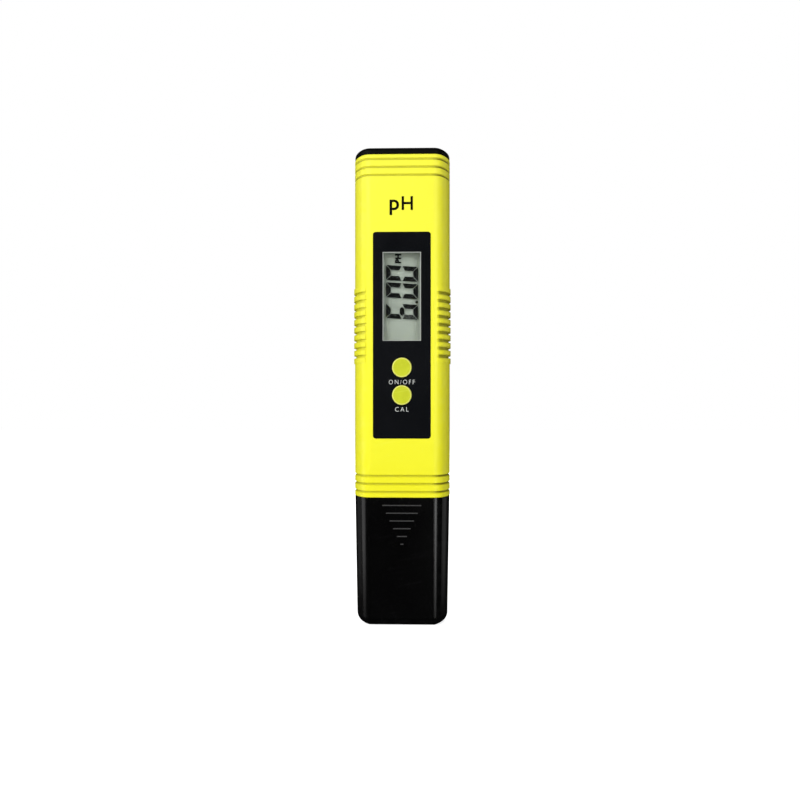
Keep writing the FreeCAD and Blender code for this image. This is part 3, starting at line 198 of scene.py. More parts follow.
edge_rub, given, result = node_group("edge_rub", {"Reach": 0.86, "Patches": 900.0}, ["Mask"])
facing = add(edge_rub, "SeparateXYZ", {"Vector": add(edge_rub, "NewGeometry").outputs["Normal"]})
squarest = sums(edge_rub, "MAXIMUM",
                sums(edge_rub, "MAXIMUM", sums(edge_rub, "ABSOLUTE", facing.outputs["X"]),
                     sums(edge_rub, "ABSOLUTE", facing.outputs["Y"])),
                sums(edge_rub, "ABSOLUTE", facing.outputs["Z"]))
rounded = fit_range(edge_rub, squarest, 0.99, given["Reach"])
patches = add(edge_rub, "TexNoise", {"Vector": add(edge_rub, "TexCoord").outputs["Object"],
                                     "Scale": given["Patches"], "Detail": 2.0})
edge_rub.links.new(sums(edge_rub, "MULTIPLY", rounded, fit_range(edge_rub, patches.outputs["Fac"], 0.42, 0.62)),
                   result.inputs["Mask"])

hairlines, given, result = node_group(
    "hairlines", {"Along": (60.0, 60.0, 2600.0), "Across": (2400.0, 2400.0, 90.0)}, ["Mask"])
place = add(hairlines, "TexCoord").outputs["Object"]
strokes = []
for way, tilt in (("Along", 0.35), ("Across", -0.22)):
    turned = add(hairlines, "Mapping", {"Vector": place, "Rotation": (tilt, tilt / 2, tilt)})
    stretched = add(hairlines, "VectorMath", {0: turned.outputs[0], 1: given[way]}, operation="MULTIPLY")
    noise = add(hairlines, "TexNoise", {"Vector": stretched.outputs[0], "Scale": 1.0, "Detail": 1.0})
    strokes.append(fit_range(hairlines, noise.outputs["Fac"], 0.66, 0.74))
hairlines.links.new(sums(hairlines, "MAXIMUM", *strokes), result.inputs["Mask"])


def moulded(name, colour, deeper, rubbed, roughness, grain, flow, relief, rub, plain=None):
    """Moulded plastic: grain and flow in its colour, gloss and surface, and lighter rubbed roundings."""
    made, tree, shader = new_material(name, plain or {})
    skin = add(tree, "Group", {"Grain": grain, "Flow": flow, "Smoothest": roughness[0], "Dullest": roughness[1]},
               node_tree=moulded_skin)
    worn = add(tree, "Group", {"Reach": 0.86, "Patches": flow * 9}, node_tree=edge_rub)
    lines = add(tree, "Group", node_tree=hairlines)
    tone = blend_colour(tree, skin.outputs["Tone"], deeper, colour)
    marks = sums(tree, "MAXIMUM", sums(tree, "MULTIPLY", worn.outputs["Mask"], rub),
                 sums(tree, "MULTIPLY", lines.outputs["Mask"], rub / 2))
    tree.links.new(blend_colour(tree, marks, tone, rubbed), shader.inputs["Base Color"])
    tree.links.new(sums(tree, "MULTIPLY_ADD", marks, -0.1, skin.outputs["Roughness"]), shader.inputs["Roughness"])
    bump(tree, shader, sums(tree, "MULTIPLY_ADD", lines.outputs["Mask"], -0.1, skin.outputs["Height"]), relief,
         0.0001)
    return made


def dress(finish, *names):
    """Gives CAD nodes their finish."""
    for name in names:
        cad[name].material_slots[0].material = finish


def near_lines(tree, value, middle, pitch, lines, core, fade):
    """A mask along evenly pitched lines: 1 within core of a line's middle, fading to 0 at fade."""
    apart = sums(tree, "SUBTRACT", value, middle)
    nearest = sums(tree, "ABSOLUTE", sums(tree, "WRAP", apart, pitch / 2, -pitch / 2))
    among = sums(tree, "LESS_THAN", sums(tree, "ABSOLUTE", apart), lines * pitch / 2)
    return sums(tree, "MULTIPLY", fit_range(tree, nearest, fade, core), among)


case_yellow = moulded("case_yellow", (0.95, 0.925, 0.010), (0.925, 0.89, 0.007), (0.97, 0.96, 0.10), (0.36, 0.44),
                      2600.0, 30.0, 0.06, 0.25, {"Specular IOR Level": 0.44})
tree = case_yellow.node_tree
shader = tree.nodes["Principled BSDF"]
case_low, case_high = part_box("main_housing")
RING_PITCH, RING_FROM_TOP, RING_FROM_BOTTOM = 0.0026, 0.0016, 0.00185
GRIP_PITCH, GRIP_MIDDLE, GRIP_EDGE = 0.00257, 0.0562, 0.0117
axes = add(tree, "SeparateXYZ", {"Vector": add(tree, "TexCoord").outputs["Object"]})
# Painted shade: the ring and grip grooves are darkened towards dark olive, more on the right side (+x) than on the
# left.
rings = sums(tree, "MAXIMUM",
             near_lines(tree, axes.outputs["Z"], case_high.z - RING_FROM_TOP - RING_PITCH, RING_PITCH, 3, 0.0001,
                        0.00045),
             near_lines(tree, axes.outputs["Z"], case_low.z + RING_FROM_BOTTOM + RING_PITCH, RING_PITCH, 3, 0.0001,
                        0.00045))
grips = near_lines(tree, axes.outputs["Z"], case_low.z + GRIP_MIDDLE, GRIP_PITCH, 9, 0.0003, 0.0009)
at_side = fit_range(tree, sums(tree, "ABSOLUTE", axes.outputs["X"]), GRIP_EDGE, GRIP_EDGE + 0.0005)
grip_shade_by_side = fit_range(tree, axes.outputs["X"], -0.01, 0.01, 0.22, 0.62)
ring_shade_by_side = fit_range(tree, axes.outputs["X"], 0.0095, 0.0120, 0.50, 0.90)
shaded = sums(tree, "MAXIMUM", sums(tree, "MULTIPLY", rings, ring_shade_by_side),
              sums(tree, "MULTIPLY", sums(tree, "MULTIPLY", grips, at_side), grip_shade_by_side))
# Painted sheen: the yellow is made paler and whiter towards the top, standing in for the reflection of the light above.
painted_top_sheen = fit_range(tree, axes.outputs["Z"], case_low.z, case_high.z, 0.0, 0.3)
yellow_with_top_sheen = blend_colour(tree, painted_top_sheen, shader.inputs["Base Color"].links[0].from_socket, (0.94, 0.92, 0.12))
tree.links.new(blend_colour(tree, shaded, yellow_with_top_sheen, (0.10, 0.075, 0.001)), shader.inputs["Base Color"])
dress(case_yellow, "main_housing")


def placed(piece, name, matrix=None):
    """Puts a finished piece's place into its mesh, names it and leaves it unselected."""
    bpy.ops.object.transform_apply(location=True, rotation=True, scale=True)
    if matrix is not None:
        piece.data.transform(matrix)
    piece.name = name
    bpy.ops.object.select_all(action="DESELECT")
    return piece


def print_words(name, words, capital, middle, front, spacing=1.0, width=None, weight=0.0):
    """Flat printed lettering that faces the front: capital is the capitals' height, front its y."""
    bpy.ops.object.text_add(location=(0, 0, 0))
    text = bpy.context.object
    text.data.body, text.data.align_x, text.data.space_character = words, "CENTER", spacing
    text.data.extrude, text.data.resolution_u, text.data.offset = 0.001, 6, weight
    bpy.ops.object.convert(target="MESH")
    piece = bpy.context.object
    tops = [v.co for v in piece.data.vertices]
    tall = capital / max(c.y for c in tops)
    reach = max(c.x for c in tops) - min(c.x for c in tops)
    wide = width / reach if width else tall
    centre = (max(c.x for c in tops) + min(c.x for c in tops)) / 2
    x, z = middle
    stand = Matrix.Translation((x - centre * wide, front, z)) @ Matrix.Rotation(math.pi / 2, 4, "X")
    return placed(piece, name, stand @ Matrix.Diagonal((wide, tall, 0.01, 1.0)))


ink, tree, shader = new_material("case_ink", {"Specular IOR Level": 0.05})
wear = add(tree, "TexNoise", {"Vector": add(tree, "TexCoord").outputs["Object"], "Scale": 3000.0, "Detail": 3.0})
tree.links.new(blend_colour(tree, fit_range(tree, wear.outputs["Fac"], 0.62, 0.75), (0.0015, 0.0015, 0.0015),
                            (0.015, 0.014, 0.004)), shader.inputs["Base Color"])
tree.links.new(fit_range(tree, wear.outputs["Fac"], 0.3, 0.7, 0.35, 0.5), shader.inputs["Roughness"])
CASE_FRONT, PRINT_LIFT = -0.009, 0.00001
MEASURE_LEVEL = case_low.z + 0.0934
for name, letter, tall, across, width in (("print_measure_first", "p", 0.00327, -0.00243, 0.00311),
                                          ("print_measure_second", "H", 0.00437, 0.00177, 0.00366)):
    measure = print_words(name, letter, tall, (across, MEASURE_LEVEL), CASE_FRONT - PRINT_LIFT, 1.0, width, 0.016)
    measure.data.materials.append(ink)
    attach(measure, "pen")


# ------------------------------------------------------------------ front overlay
# A flat glossy black plastic plate let into the case's front, with the window and the key holes cut through it.
# The keys' words are screen-printed on it in pale grey.
overlay = moulded("overlay_gloss", (0.0055, 0.006, 0.0075), (0.004, 0.0045, 0.0055), (0.02, 0.02, 0.022),
                  (0.10, 0.16), 3000.0, 60.0, 0.02, 0.25, {"Specular IOR Level": 0.4})
dress(overlay, "front_fascia")

pale_ink, tree, shader = new_material("overlay_ink", {"Specular IOR Level": 0.3})
wear = add(tree, "TexNoise", {"Vector": add(tree, "TexCoord").outputs["Object"], "Scale": 5200.0, "Detail": 2.0})
tree.links.new(blend_colour(tree, wear.outputs["Fac"], (0.62, 0.64, 0.62), (0.85, 0.87, 0.82)),
               shader.inputs["Base Color"])
tree.links.new(fit_range(tree, wear.outputs["Fac"], 0.3, 0.7, 0.4, 0.6), shader.inputs["Roughness"])
overlay_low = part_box("front_fascia")[0]
overlay_front = overlay_low.y - PRINT_LIFT
WORD_HEIGHT = 0.00145
for name, words, width, rise in (("print_power", "ON/OFF", 0.0084, 0.0176),
                                 ("print_calibrate", "CAL", 0.0044, 0.00875)):
    print_piece = print_words(name, words, WORD_HEIGHT, (0.0, overlay_low.z + rise), overlay_front, 1.4, width,
                              -0.012)
    print_piece.data.materials.append(pale_ink)
    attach(print_piece, "pen")


# ------------------------------------------------------------------ keys and their switches
# Two satin yellow-green ABS keys stand a little out of the overlay. Each presses the plunger of a black nylon
# switch soldered to the board behind it.
key_plastic = moulded("key_yellow_green", (0.60, 0.66, 0.006), (0.54, 0.59, 0.004), (0.80, 0.86, 0.10), (0.32, 0.45),
                      3600.0, 260.0, 0.12, 0.35)
tree = key_plastic.node_tree
shader = tree.nodes["Principled BSDF"]
axes = add(tree, "SeparateXYZ", {"Vector": add(tree, "TexCoord").outputs["Object"]})
key_levels = [(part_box(key)[0].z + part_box(key)[1].z) / 2 for key in ("power_button", "cal_button")]
level_off = sums(tree, "MINIMUM", *(sums(tree, "ABSOLUTE", sums(tree, "SUBTRACT", axes.outputs["Z"], level))
                                    for level in key_levels))
radius = sums(tree, "SQRT", sums(tree, "MULTIPLY_ADD", axes.outputs["X"], axes.outputs["X"],
                                 sums(tree, "MULTIPLY", level_off, level_off)))
# Painted highlight: a lighter ring is laid round each key's edge.
RIM_STARTS, RIM_FULL = 0.00272, 0.00292
key_rim_highlight = fit_range(tree, radius, RIM_STARTS, RIM_FULL, 0.0, 0.9)
tree.links.new(blend_colour(tree, key_rim_highlight, shader.inputs["Base Color"].links[0].from_socket, (0.95, 0.96, 0.20)),
               shader.inputs["Base Color"])
dress(key_plastic, "power_button", "cal_button")
dress(moulded("switch_nylon", (0.03, 0.03, 0.031), (0.02, 0.02, 0.021), (0.08, 0.08, 0.08), (0.45, 0.6), 4000.0,
              300.0, 0.15, 0.3), "power_switch_base", "cal_switch_base", "power_switch_plunger",
      "cal_switch_plunger")


# ------------------------------------------------------------------ window lens
# A clear acrylic block pushed into the overlay's window from behind, polished flush with it.
def lets_lamps_through(tree, shader, tint):
    """Adds a see-through stand-in for rays from lamps, so that what is behind clear glass is lit."""
    clear = add(tree, "BsdfTransparent", {"Color": (*tint, 1.0)})
    path = add(tree, "LightPath")
    both = add(tree, "MixShader", {0: path.outputs["Is Shadow Ray"], 1: shader.outputs[0], 2: clear.outputs[0]})
    tree.links.new(both.outputs[0], tree.nodes["Material Output"].inputs["Surface"])


def clear_glass(name, tint, roughness, index, streaks):
    """Clear glass or acrylic with a faint uneven polish."""
    made, tree, shader = new_material(name, {"Transmission Weight": 1.0, "IOR": index, "Base Color": (*tint, 1.0)})
    lines = add(tree, "Group", node_tree=hairlines)
    skin = add(tree, "Group", {"Grain": 1500.0, "Flow": 60.0, "Smoothest": roughness[0], "Dullest": roughness[1]},
               node_tree=moulded_skin)
    tree.links.new(skin.outputs["Roughness"], shader.inputs["Roughness"])
    bump(tree, shader, sums(tree, "MULTIPLY_ADD", lines.outputs["Mask"], -0.2,
                            sums(tree, "MULTIPLY", skin.outputs["Height"], 0.1)), streaks, 0.00002)
    lets_lamps_through(tree, shader, tint)
    return made


dress(clear_glass("lens_acrylic", (0.99, 0.995, 0.99), (0.0, 0.02), 1.49, 0.03), "window_lens")

# A pale thin line laid flat on the overlay's front round the window's edge.
WINDOW_WIDE, WINDOW_TALL, WINDOW_UP, EDGE_LINE = 0.0124, 0.0288, 0.0461, 0.00022
bpy.ops.mesh.primitive_plane_add(size=1.0, location=(0, overlay_front, overlay_low.z + WINDOW_UP),
                                 rotation=(math.pi / 2, 0, 0))
line = bpy.context.object
line.scale = (WINDOW_WIDE, WINDOW_TALL, 1.0)
bpy.ops.object.transform_apply(location=False, rotation=False, scale=True)
bpy.ops.object.mode_set(mode="EDIT")
bpy.ops.mesh.select_all(action="SELECT")
bpy.ops.mesh.inset(thickness=EDGE_LINE)
bpy.ops.mesh.delete(type="ONLY_FACE")
bpy.ops.object.mode_set(mode="OBJECT")
thick = line.modifiers.new("thick", "SOLIDIFY")
thick.thickness, thick.offset = PRINT_LIFT, 0.0
bpy.ops.object.modifier_apply(modifier="thick")
placed(line, "window_edge_line")
edge_line_finish, tree, shader = new_material("window_edge_pale_line", {"Specular IOR Level": 0.3})
wear = add(tree, "TexNoise", {"Vector": add(tree, "TexCoord").outputs["Object"], "Scale": 2600.0, "Detail": 3.0})
tree.links.new(blend_colour(tree, wear.outputs["Fac"], (0.30, 0.32, 0.30), (0.55, 0.57, 0.53)),
               shader.inputs["Base Color"])
tree.links.new(fit_range(tree, wear.outputs["Fac"], 0.3, 0.7, 0.4, 0.6), shader.inputs["Roughness"])
line.data.materials.append(edge_line_finish)
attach(line, "pen")


# ------------------------------------------------------------------ display
# A reflective liquid-crystal display: two thin glass plates between polarising films, the rear one a grey-green
# reflector, in a white clip-on frame. Its reading runs up the pen, so the digits lie on their side.
dress(moulded("frame_white_plastic", (0.80, 0.80, 0.78), (0.76, 0.76, 0.73), (0.86, 0.86, 0.85), (0.4, 0.5), 2500.0,
              90.0, 0.08, 0.2), "lcd_frame")


def thin_film(name, light, dark, opacity, roughness):
    """A thin see-through film or plate with faint mottling."""
    made, tree, shader = new_material(name, {"Alpha": opacity, "Specular IOR Level": 0.4})
    skin = add(tree, "Group", {"Grain": 1800.0, "Flow": 120.0, "Smoothest": roughness[0], "Dullest": roughness[1]},
               node_tree=moulded_skin)
    tree.links.new(blend_colour(tree, skin.outputs["Tone"], dark, light), shader.inputs["Base Color"])
    tree.links.new(skin.outputs["Roughness"], shader.inputs["Roughness"])
    return made


INK = 0.00001


def thin_plate(name, node, finish):
    """A film or glass plate with ground edges, a hundredth of a millimetre clear of what it lies on."""
    low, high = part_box(node)
    air = Vector((0.0, INK, 0.0))
    bpy.ops.mesh.primitive_cube_add(size=1.0, location=(low + high) / 2, scale=high - low - 2 * air)
    plate = bpy.context.object
    bpy.ops.object.transform_apply(location=True, rotation=False, scale=True)
    bpy.ops.object.mode_set(mode="EDIT")
    bpy.ops.mesh.select_all(action="SELECT")
    bpy.ops.mesh.bevel(offset=0.00004, segments=2, affect="EDGES")
    bpy.ops.object.mode_set(mode="OBJECT")
    placed(plate, name)
    plate.data.materials.append(finish)
    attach(plate, "pen")
    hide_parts(node)


polariser = thin_film("front_polariser", (0.05, 0.055, 0.05), (0.04, 0.045, 0.04), 0.04, (0.2, 0.3))
plate_glass = thin_film("display_glass", (0.20, 0.24, 0.22), (0.16, 0.20, 0.18), 0.012, (0.02, 0.06))
thin_plate("display_front_film", "lcd_front_polariser", polariser)
thin_plate("display_front_plate", "lcd_front_glass", plate_glass)
thin_plate("display_rear_plate", "lcd_rear_glass", plate_glass)

reflector, tree, shader = new_material("rear_reflector", {"Specular IOR Level": 0.4})
skin = add(tree, "Group", {"Grain": 4200.0, "Flow": 140.0, "Smoothest": 0.5, "Dullest": 0.65},
           node_tree=moulded_skin)
fibres = add(tree, "TexNoise", {"Vector": add(tree, "Mapping", {
    "Vector": add(tree, "TexCoord").outputs["Object"], "Scale": (900.0, 900.0, 9000.0)}).outputs[0], "Scale": 1.0,
    "Detail": 2.0})
shade = blend_colour(tree, skin.outputs["Tone"], (0.47, 0.53, 0.46), (0.49, 0.55, 0.48))
tree.links.new(blend_colour(tree, fit_range(tree, fibres.outputs["Fac"], 0.35, 0.7, 0.0, 0.12), shade,
                            (0.36, 0.41, 0.35)), shader.inputs["Base Color"])
tree.links.new(skin.outputs["Roughness"], shader.inputs["Roughness"])
bump(tree, shader, skin.outputs["Height"], 0.1, 0.00005)
dress(reflector, "lcd_rear_polariser")

bands, tree, shader = new_material("contact_bands", {"Specular IOR Level": 0.3})
stripes = add(tree, "TexWave", {"Vector": add(tree, "TexCoord").outputs["Object"], "Scale": 900.0,
                                "Distortion": 0.0}, wave_type="BANDS", bands_direction="Z")
tree.links.new(blend_colour(tree, fit_range(tree, stripes.outputs["Fac"], 0.45, 0.55), (0.55, 0.42, 0.40),
                            (0.025, 0.025, 0.025)), shader.inputs["Base Color"])
tree.links.new(fit_range(tree, stripes.outputs["Fac"], 0.45, 0.55, 0.7, 0.55), shader.inputs["Roughness"])
bump(tree, shader, stripes.outputs["Fac"], 0.15, 0.00002)
dress(bands, "zebra_strip_left", "zebra_strip_right")

DIGIT_HALF_WIDTH, DIGIT_HALF_HEIGHT, STROKE, MITRE = 0.00246, 0.00522, 0.00150, 0.00016
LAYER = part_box("lcd_rear_glass")[0].y
DIGIT_LEAN, DOT_RADIUS, DOT_ACROSS, DOT_UP = 0.067, 0.00048, 0.00481, 0.0446


def stroke(along, low, high, outer, taper_low, taper_high, inward, thick=STROKE):
    """One display stroke: a thin bar from low to high whose inner edge is shortened at its ends.
    along is "u", across the digit, or "v", up it; outer is its outer edge, and inward +1 or -1 is the way in."""
    inner = outer + inward * thick
    size = (high - low, thick) if along == "u" else (thick, high - low)
    middle = ((low + high) / 2, (outer + inner) / 2) if along == "u" else ((outer + inner) / 2, (low + high) / 2)
    bpy.ops.mesh.primitive_cube_add(size=1.0, location=(0, 0, 0))
    bar = bpy.context.object
    bar.data.transform(Matrix.Translation((*middle, 0)) @ Matrix.Diagonal((*size, INK, 1.0)))
    bpy.ops.object.mode_set(mode="EDIT")
    bpy.ops.mesh.select_all(action="DESELECT")
    for end, shorter in ((low, taper_low), (high, -taper_high)):
        bpy.ops.object.mode_set(mode="OBJECT")
        for v in bar.data.vertices:
            at_end, at_side = (v.co.x, v.co.y) if along == "u" else (v.co.y, v.co.x)
            v.select = abs(at_end - end) < 1e-6 and abs(at_side - inner) < 1e-6
        bpy.ops.object.mode_set(mode="EDIT")
        bpy.ops.transform.translate(value=(shorter, 0, 0) if along == "u" else (0, shorter, 0))
        bpy.ops.mesh.select_all(action="DESELECT")
    bpy.ops.object.mode_set(mode="OBJECT")
    return bar


def make_digit(lit, level):
    """The lit strokes of one digit, each named by its usual letter, laid on its side at that height."""
    w, h, m, s = DIGIT_HALF_WIDTH, DIGIT_HALF_HEIGHT, MITRE, STROKE
    plans = {"a": ("u", -w + m, w - m, h, s, s, -1), "d": ("u", -w + m, w - m, -h, s, s, 1),
             "b": ("v", m, h - m, w, s / 2, s, -1), "c": ("v", -h + m, -m, w, s, s / 2, -1),
             "f": ("v", m, h - m, -w, s / 2, s, 1), "e": ("v", -h + m, -m, -w, s, s / 2, 1)}
    bars = [stroke(*plans[letter]) for letter in lit if letter in plans]
    if "g" in lit:
        for side in (1, -1):
            bars.append(stroke("u", -w + s / 2 + m, w - s / 2 - m, 0.0, s / 2, s / 2, side, s / 2))
    lean = Matrix.Identity(4)
    lean[0][1] = DIGIT_LEAN
    lie = Matrix(((0, -1, 0, 0), (0, 0, -1, LAYER), (1, 0, 0, level), (0, 0, 0, 1)))
    for bar in bars:
        bar.data.transform(lie @ lean)
    return bars


def join_pieces(pieces, name):
    """Joins pieces into one, with its doubles merged and its normals facing out."""
    bpy.ops.object.select_all(action="DESELECT")
    for piece in pieces:
        piece.select_set(True)
    bpy.context.view_layer.objects.active = pieces[0]
    if len(pieces) > 1:
        bpy.ops.object.join()
    joined = bpy.context.object
    bpy.ops.object.mode_set(mode="EDIT")
    bpy.ops.mesh.select_all(action="SELECT")
    bpy.ops.mesh.remove_doubles(threshold=1e-7)
    bpy.ops.mesh.normals_make_consistent(inside=False)
    bpy.ops.object.mode_set(mode="OBJECT")
    return placed(joined, name)


DIGIT_LEVELS = [overlay_low.z + up for up in (0.05402, 0.04836, 0.04157)]
strokes = (make_digit("abcdef", DIGIT_LEVELS[0]) + make_digit("abcdef", DIGIT_LEVELS[1])
           + make_digit("acdfg", DIGIT_LEVELS[2]))
bpy.ops.mesh.primitive_cylinder_add(vertices=20, radius=DOT_RADIUS, depth=INK, rotation=(math.pi / 2, 0, 0),
                                    location=(DOT_ACROSS, LAYER, overlay_low.z + DOT_UP))
reading = join_pieces(strokes + [bpy.context.object], "display_reading")
weak_stroke = join_pieces(make_digit("e", DIGIT_LEVELS[2]), "display_weak_stroke")
unlit = join_pieces(make_digit("b", DIGIT_LEVELS[2]), "display_unlit_stroke")

for piece, depth, colour in ((reading, 1.0, (0.001, 0.0012, 0.0015)), (weak_stroke, 0.55, (0.02, 0.022, 0.022)),
                             (unlit, 0.03, (0.05, 0.055, 0.05))):
    crystal, tree, shader = new_material("crystal_" + piece.name, {"Alpha": depth, "Specular IOR Level": 0.03})
    speckle = add(tree, "TexNoise", {"Vector": add(tree, "TexCoord").outputs["Object"], "Scale": 5000.0})
    tree.links.new(blend_colour(tree, fit_range(tree, speckle.outputs["Fac"], 0.4, 0.7), colour,
                                tuple(c * 1.8 for c in colour)), shader.inputs["Base Color"])
    tree.links.new(fit_range(tree, speckle.outputs["Fac"], 0.3, 0.7, 0.4, 0.6), shader.inputs["Roughness"])
    piece.data.materials.append(crystal)
    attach(piece, "pen")

SIGN_ACROSS, SIGN_UP = -0.00039, 0.05889
sign = print_words("display_sign", "PH", 0.0019, (0.0, 0.0), 0.0, 1.05, 0.00305, 0.055)
sign.data.transform(Matrix.Translation((SIGN_ACROSS, LAYER, overlay_low.z + SIGN_UP))
                    @ Matrix.Rotation(-math.pi / 2, 4, "Y"))
sign.data.materials.append(reading.data.materials[0])
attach(sign, "pen")


# ------------------------------------------------------------------ circuit board
# A glass-fibre board with green solder mask over its copper tracks, the tin-plated pads, the two chips and the
# small soldered parts. It is screwed to the cradle.
board, tree, shader = new_material("solder_mask", {"Specular IOR Level": 0.5, "Coat Weight": 0.2})
place = add(tree, "TexCoord").outputs["Object"]
weave = add(tree, "TexChecker", {"Vector": place, "Scale": 2200.0})
runs = add(tree, "TexBrick", {"Vector": add(tree, "Mapping", {"Vector": place, "Rotation": (math.pi / 2, 0, 0),
                                                              "Scale": (420.0, 420.0, 420.0)}).outputs[0],
                              "Scale": 1.0, "Mortar Size": 0.08, "Brick Width": 1.7, "Row Height": 0.32})
track = sums(tree, "SUBTRACT", 1.0, runs.outputs["Fac"])
ground = add(tree, "TexVoronoi", {"Vector": place, "Scale": 160.0}, feature="DISTANCE_TO_EDGE")
poured = fit_range(tree, ground.outputs["Distance"], 0.06, 0.09)
copper = sums(tree, "MULTIPLY", track, poured)
green = blend_colour(tree, copper, (0.010, 0.085, 0.028), (0.020, 0.185, 0.060))
tree.links.new(blend_colour(tree, sums(tree, "MULTIPLY", weave.outputs["Fac"], 0.06), green, (0.10, 0.25, 0.10)),
               shader.inputs["Base Color"])
tree.links.new(fit_range(tree, copper, 0.0, 1.0, 0.35, 0.24), shader.inputs["Roughness"])
bump(tree, shader, copper, 0.4, 0.00003)
dress(board, "main_pcb")


def tinned_part(name, nodes_named, colour, deeper, tinned, roughness, plain=None):
    """A soldered part: a body in its own colour, with tinned metal wherever the mask from its shape says."""
    made, tree, shader = new_material(name, plain or {})
    skin = add(tree, "Group", {"Grain": 5200.0, "Flow": 500.0, "Smoothest": roughness[0], "Dullest": roughness[1]},
               node_tree=moulded_skin)
    mask = tinned(tree)
    tree.links.new(blend_colour(tree, mask, blend_colour(tree, skin.outputs["Tone"], deeper, colour),
                                (0.72, 0.71, 0.69)), shader.inputs["Base Color"])
    tree.links.new(mask, shader.inputs["Metallic"])
    tree.links.new(sums(tree, "MULTIPLY_ADD", mask, -0.25, skin.outputs["Roughness"]), shader.inputs["Roughness"])
    bump(tree, shader, skin.outputs["Height"], 0.2, 0.00004)
    dress(made, *nodes_named)


def beyond(tree, axis, middle, reach):
    """A mask that is 1 farther than reach from middle along an axis."""
    part = add(tree, "SeparateXYZ", {"Vector": add(tree, "TexCoord").outputs["Object"]}).outputs[axis]
    return sums(tree, "GREATER_THAN", sums(tree, "ABSOLUTE", sums(tree, "SUBTRACT", part, middle)), reach)


for chip, half_body in (("mcu_chip", 0.00305), ("opamp_chip", 0.00195)):
    low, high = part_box(chip)
    tinned_part(chip + "_epoxy", [chip], (0.028, 0.028, 0.030), (0.020, 0.020, 0.021),
                lambda tree: beyond(tree, "X", (low.x + high.x) / 2, half_body + 0.00001), (0.5, 0.62))


def chip_ends(tree, row_middle, half_ceramic):
    """A mask over the tinned ends of small parts that lie in two columns, row_middle out from the board's middle."""
    part = add(tree, "SeparateXYZ", {"Vector": add(tree, "TexCoord").outputs["Object"]}).outputs["X"]
    out = sums(tree, "ABSOLUTE", part)
    return sums(tree, "GREATER_THAN", sums(tree, "ABSOLUTE", sums(tree, "SUBTRACT", out, row_middle)), half_ceramic)


PART_COLUMN, HALF_CERAMIC = 0.0076, 0.0007
tinned_part("capacitor_ceramic", ["smd_capacitors"], (0.42, 0.29, 0.16), (0.35, 0.23, 0.12),
            lambda tree: chip_ends(tree, PART_COLUMN, HALF_CERAMIC), (0.35, 0.45))
tinned_part("resistor_glaze", ["smd_resistors"], (0.02, 0.02, 0.022), (0.015, 0.015, 0.016),
            lambda tree: chip_ends(tree, PART_COLUMN, HALF_CERAMIC), (0.2, 0.3))


brushed, given, result = node_group("brushed_metal", {"Stretch": (200.0, 200.0, 6000.0)}, ["Roughness", "Height"])
drawn = add(brushed, "VectorMath", {0: add(brushed, "TexCoord").outputs["Object"], 1: given["Stretch"]},
            operation="MULTIPLY")
lines = add(brushed, "TexNoise", {"Vector": drawn.outputs[0], "Scale": 1.0, "Detail": 4.0})
brushed.links.new(fit_range(brushed, lines.outputs["Fac"], 0.3, 0.7, 0.18, 0.38), result.inputs["Roughness"])
brushed.links.new(lines.outputs["Fac"], result.inputs["Height"])


def metal(name, colour, dulled, stretch, stain, relief=0.08, plain=None):
    """Bare or plated metal with drawn lines and a little staining."""
    made, tree, shader = new_material(name, {"Metallic": 1.0, **(plain or {})})
    drawn = add(tree, "Group", {"Stretch": stretch}, node_tree=brushed)
    spots = add(tree, "TexNoise", {"Vector": add(tree, "TexCoord").outputs["Object"], "Scale": 700.0, "Detail": 4.0})
    mask = fit_range(tree, spots.outputs["Fac"], 0.5, 0.72, 0.0, stain)
    tree.links.new(blend_colour(tree, mask, colour, dulled), shader.inputs["Base Color"])
    tree.links.new(sums(tree, "MULTIPLY_ADD", mask, 0.3, drawn.outputs["Roughness"]), shader.inputs["Roughness"])
    bump(tree, shader, drawn.outputs["Height"], relief, 0.00003)
    return made


dress(metal("crystal_can", (0.78, 0.78, 0.79), (0.5, 0.5, 0.5), (300.0, 300.0, 300.0), 0.3), "crystal_can")
plated = metal("zinc_plated_steel", (0.70, 0.70, 0.71), (0.42, 0.41, 0.38), (900.0, 900.0, 900.0), 0.5)
dress(plated, "pcb_screws", "cell_spring")
nickel = metal("nickel_strip", (0.74, 0.71, 0.66), (0.48, 0.45, 0.40), (400.0, 400.0, 7000.0), 0.4)
dress(nickel, "battery_terminal_positive", "battery_terminal_negative", "tray_contact_positive",
      "tray_contact_negative")


# ------------------------------------------------------------------ cradle
# A dark grey ABS cradle carries the board and slides up the case from its open lower end.
dress(moulded("cradle_grey", (0.065, 0.065, 0.070), (0.05, 0.05, 0.054), (0.14, 0.14, 0.14), (0.5, 0.62), 2200.0,
              80.0, 0.2, 0.3), "chassis")


# ------------------------------------------------------------------ battery drawer
# A black lid with a rubber ring on its plug, and a grey tray with four button cells in a row, which pull out of
# the top of the case together. The cells press on nickel contacts and a coil spring.
dress(moulded("lid_black", (0.0025, 0.0027, 0.002), (0.0018, 0.002, 0.0015), (0.012, 0.012, 0.012), (0.40, 0.5), 2600.0,
              60.0, 0.05, 0.4, {"Specular IOR Level": 0.08}), "battery_lid")
dress(moulded("tray_grey", (0.055, 0.055, 0.060), (0.042, 0.042, 0.046), (0.12, 0.12, 0.12), (0.5, 0.6), 2200.0,
              90.0, 0.2, 0.3), "battery_tray")
seal = moulded("nitrile_rubber", (0.018, 0.018, 0.018), (0.012, 0.012, 0.012), (0.06, 0.06, 0.058), (0.55, 0.72),
               3200.0, 200.0, 0.3, 0.4, {"Specular IOR Level": 0.35})
dress(seal, "battery_lid_seal", "collar_seal", "electrode_seal")

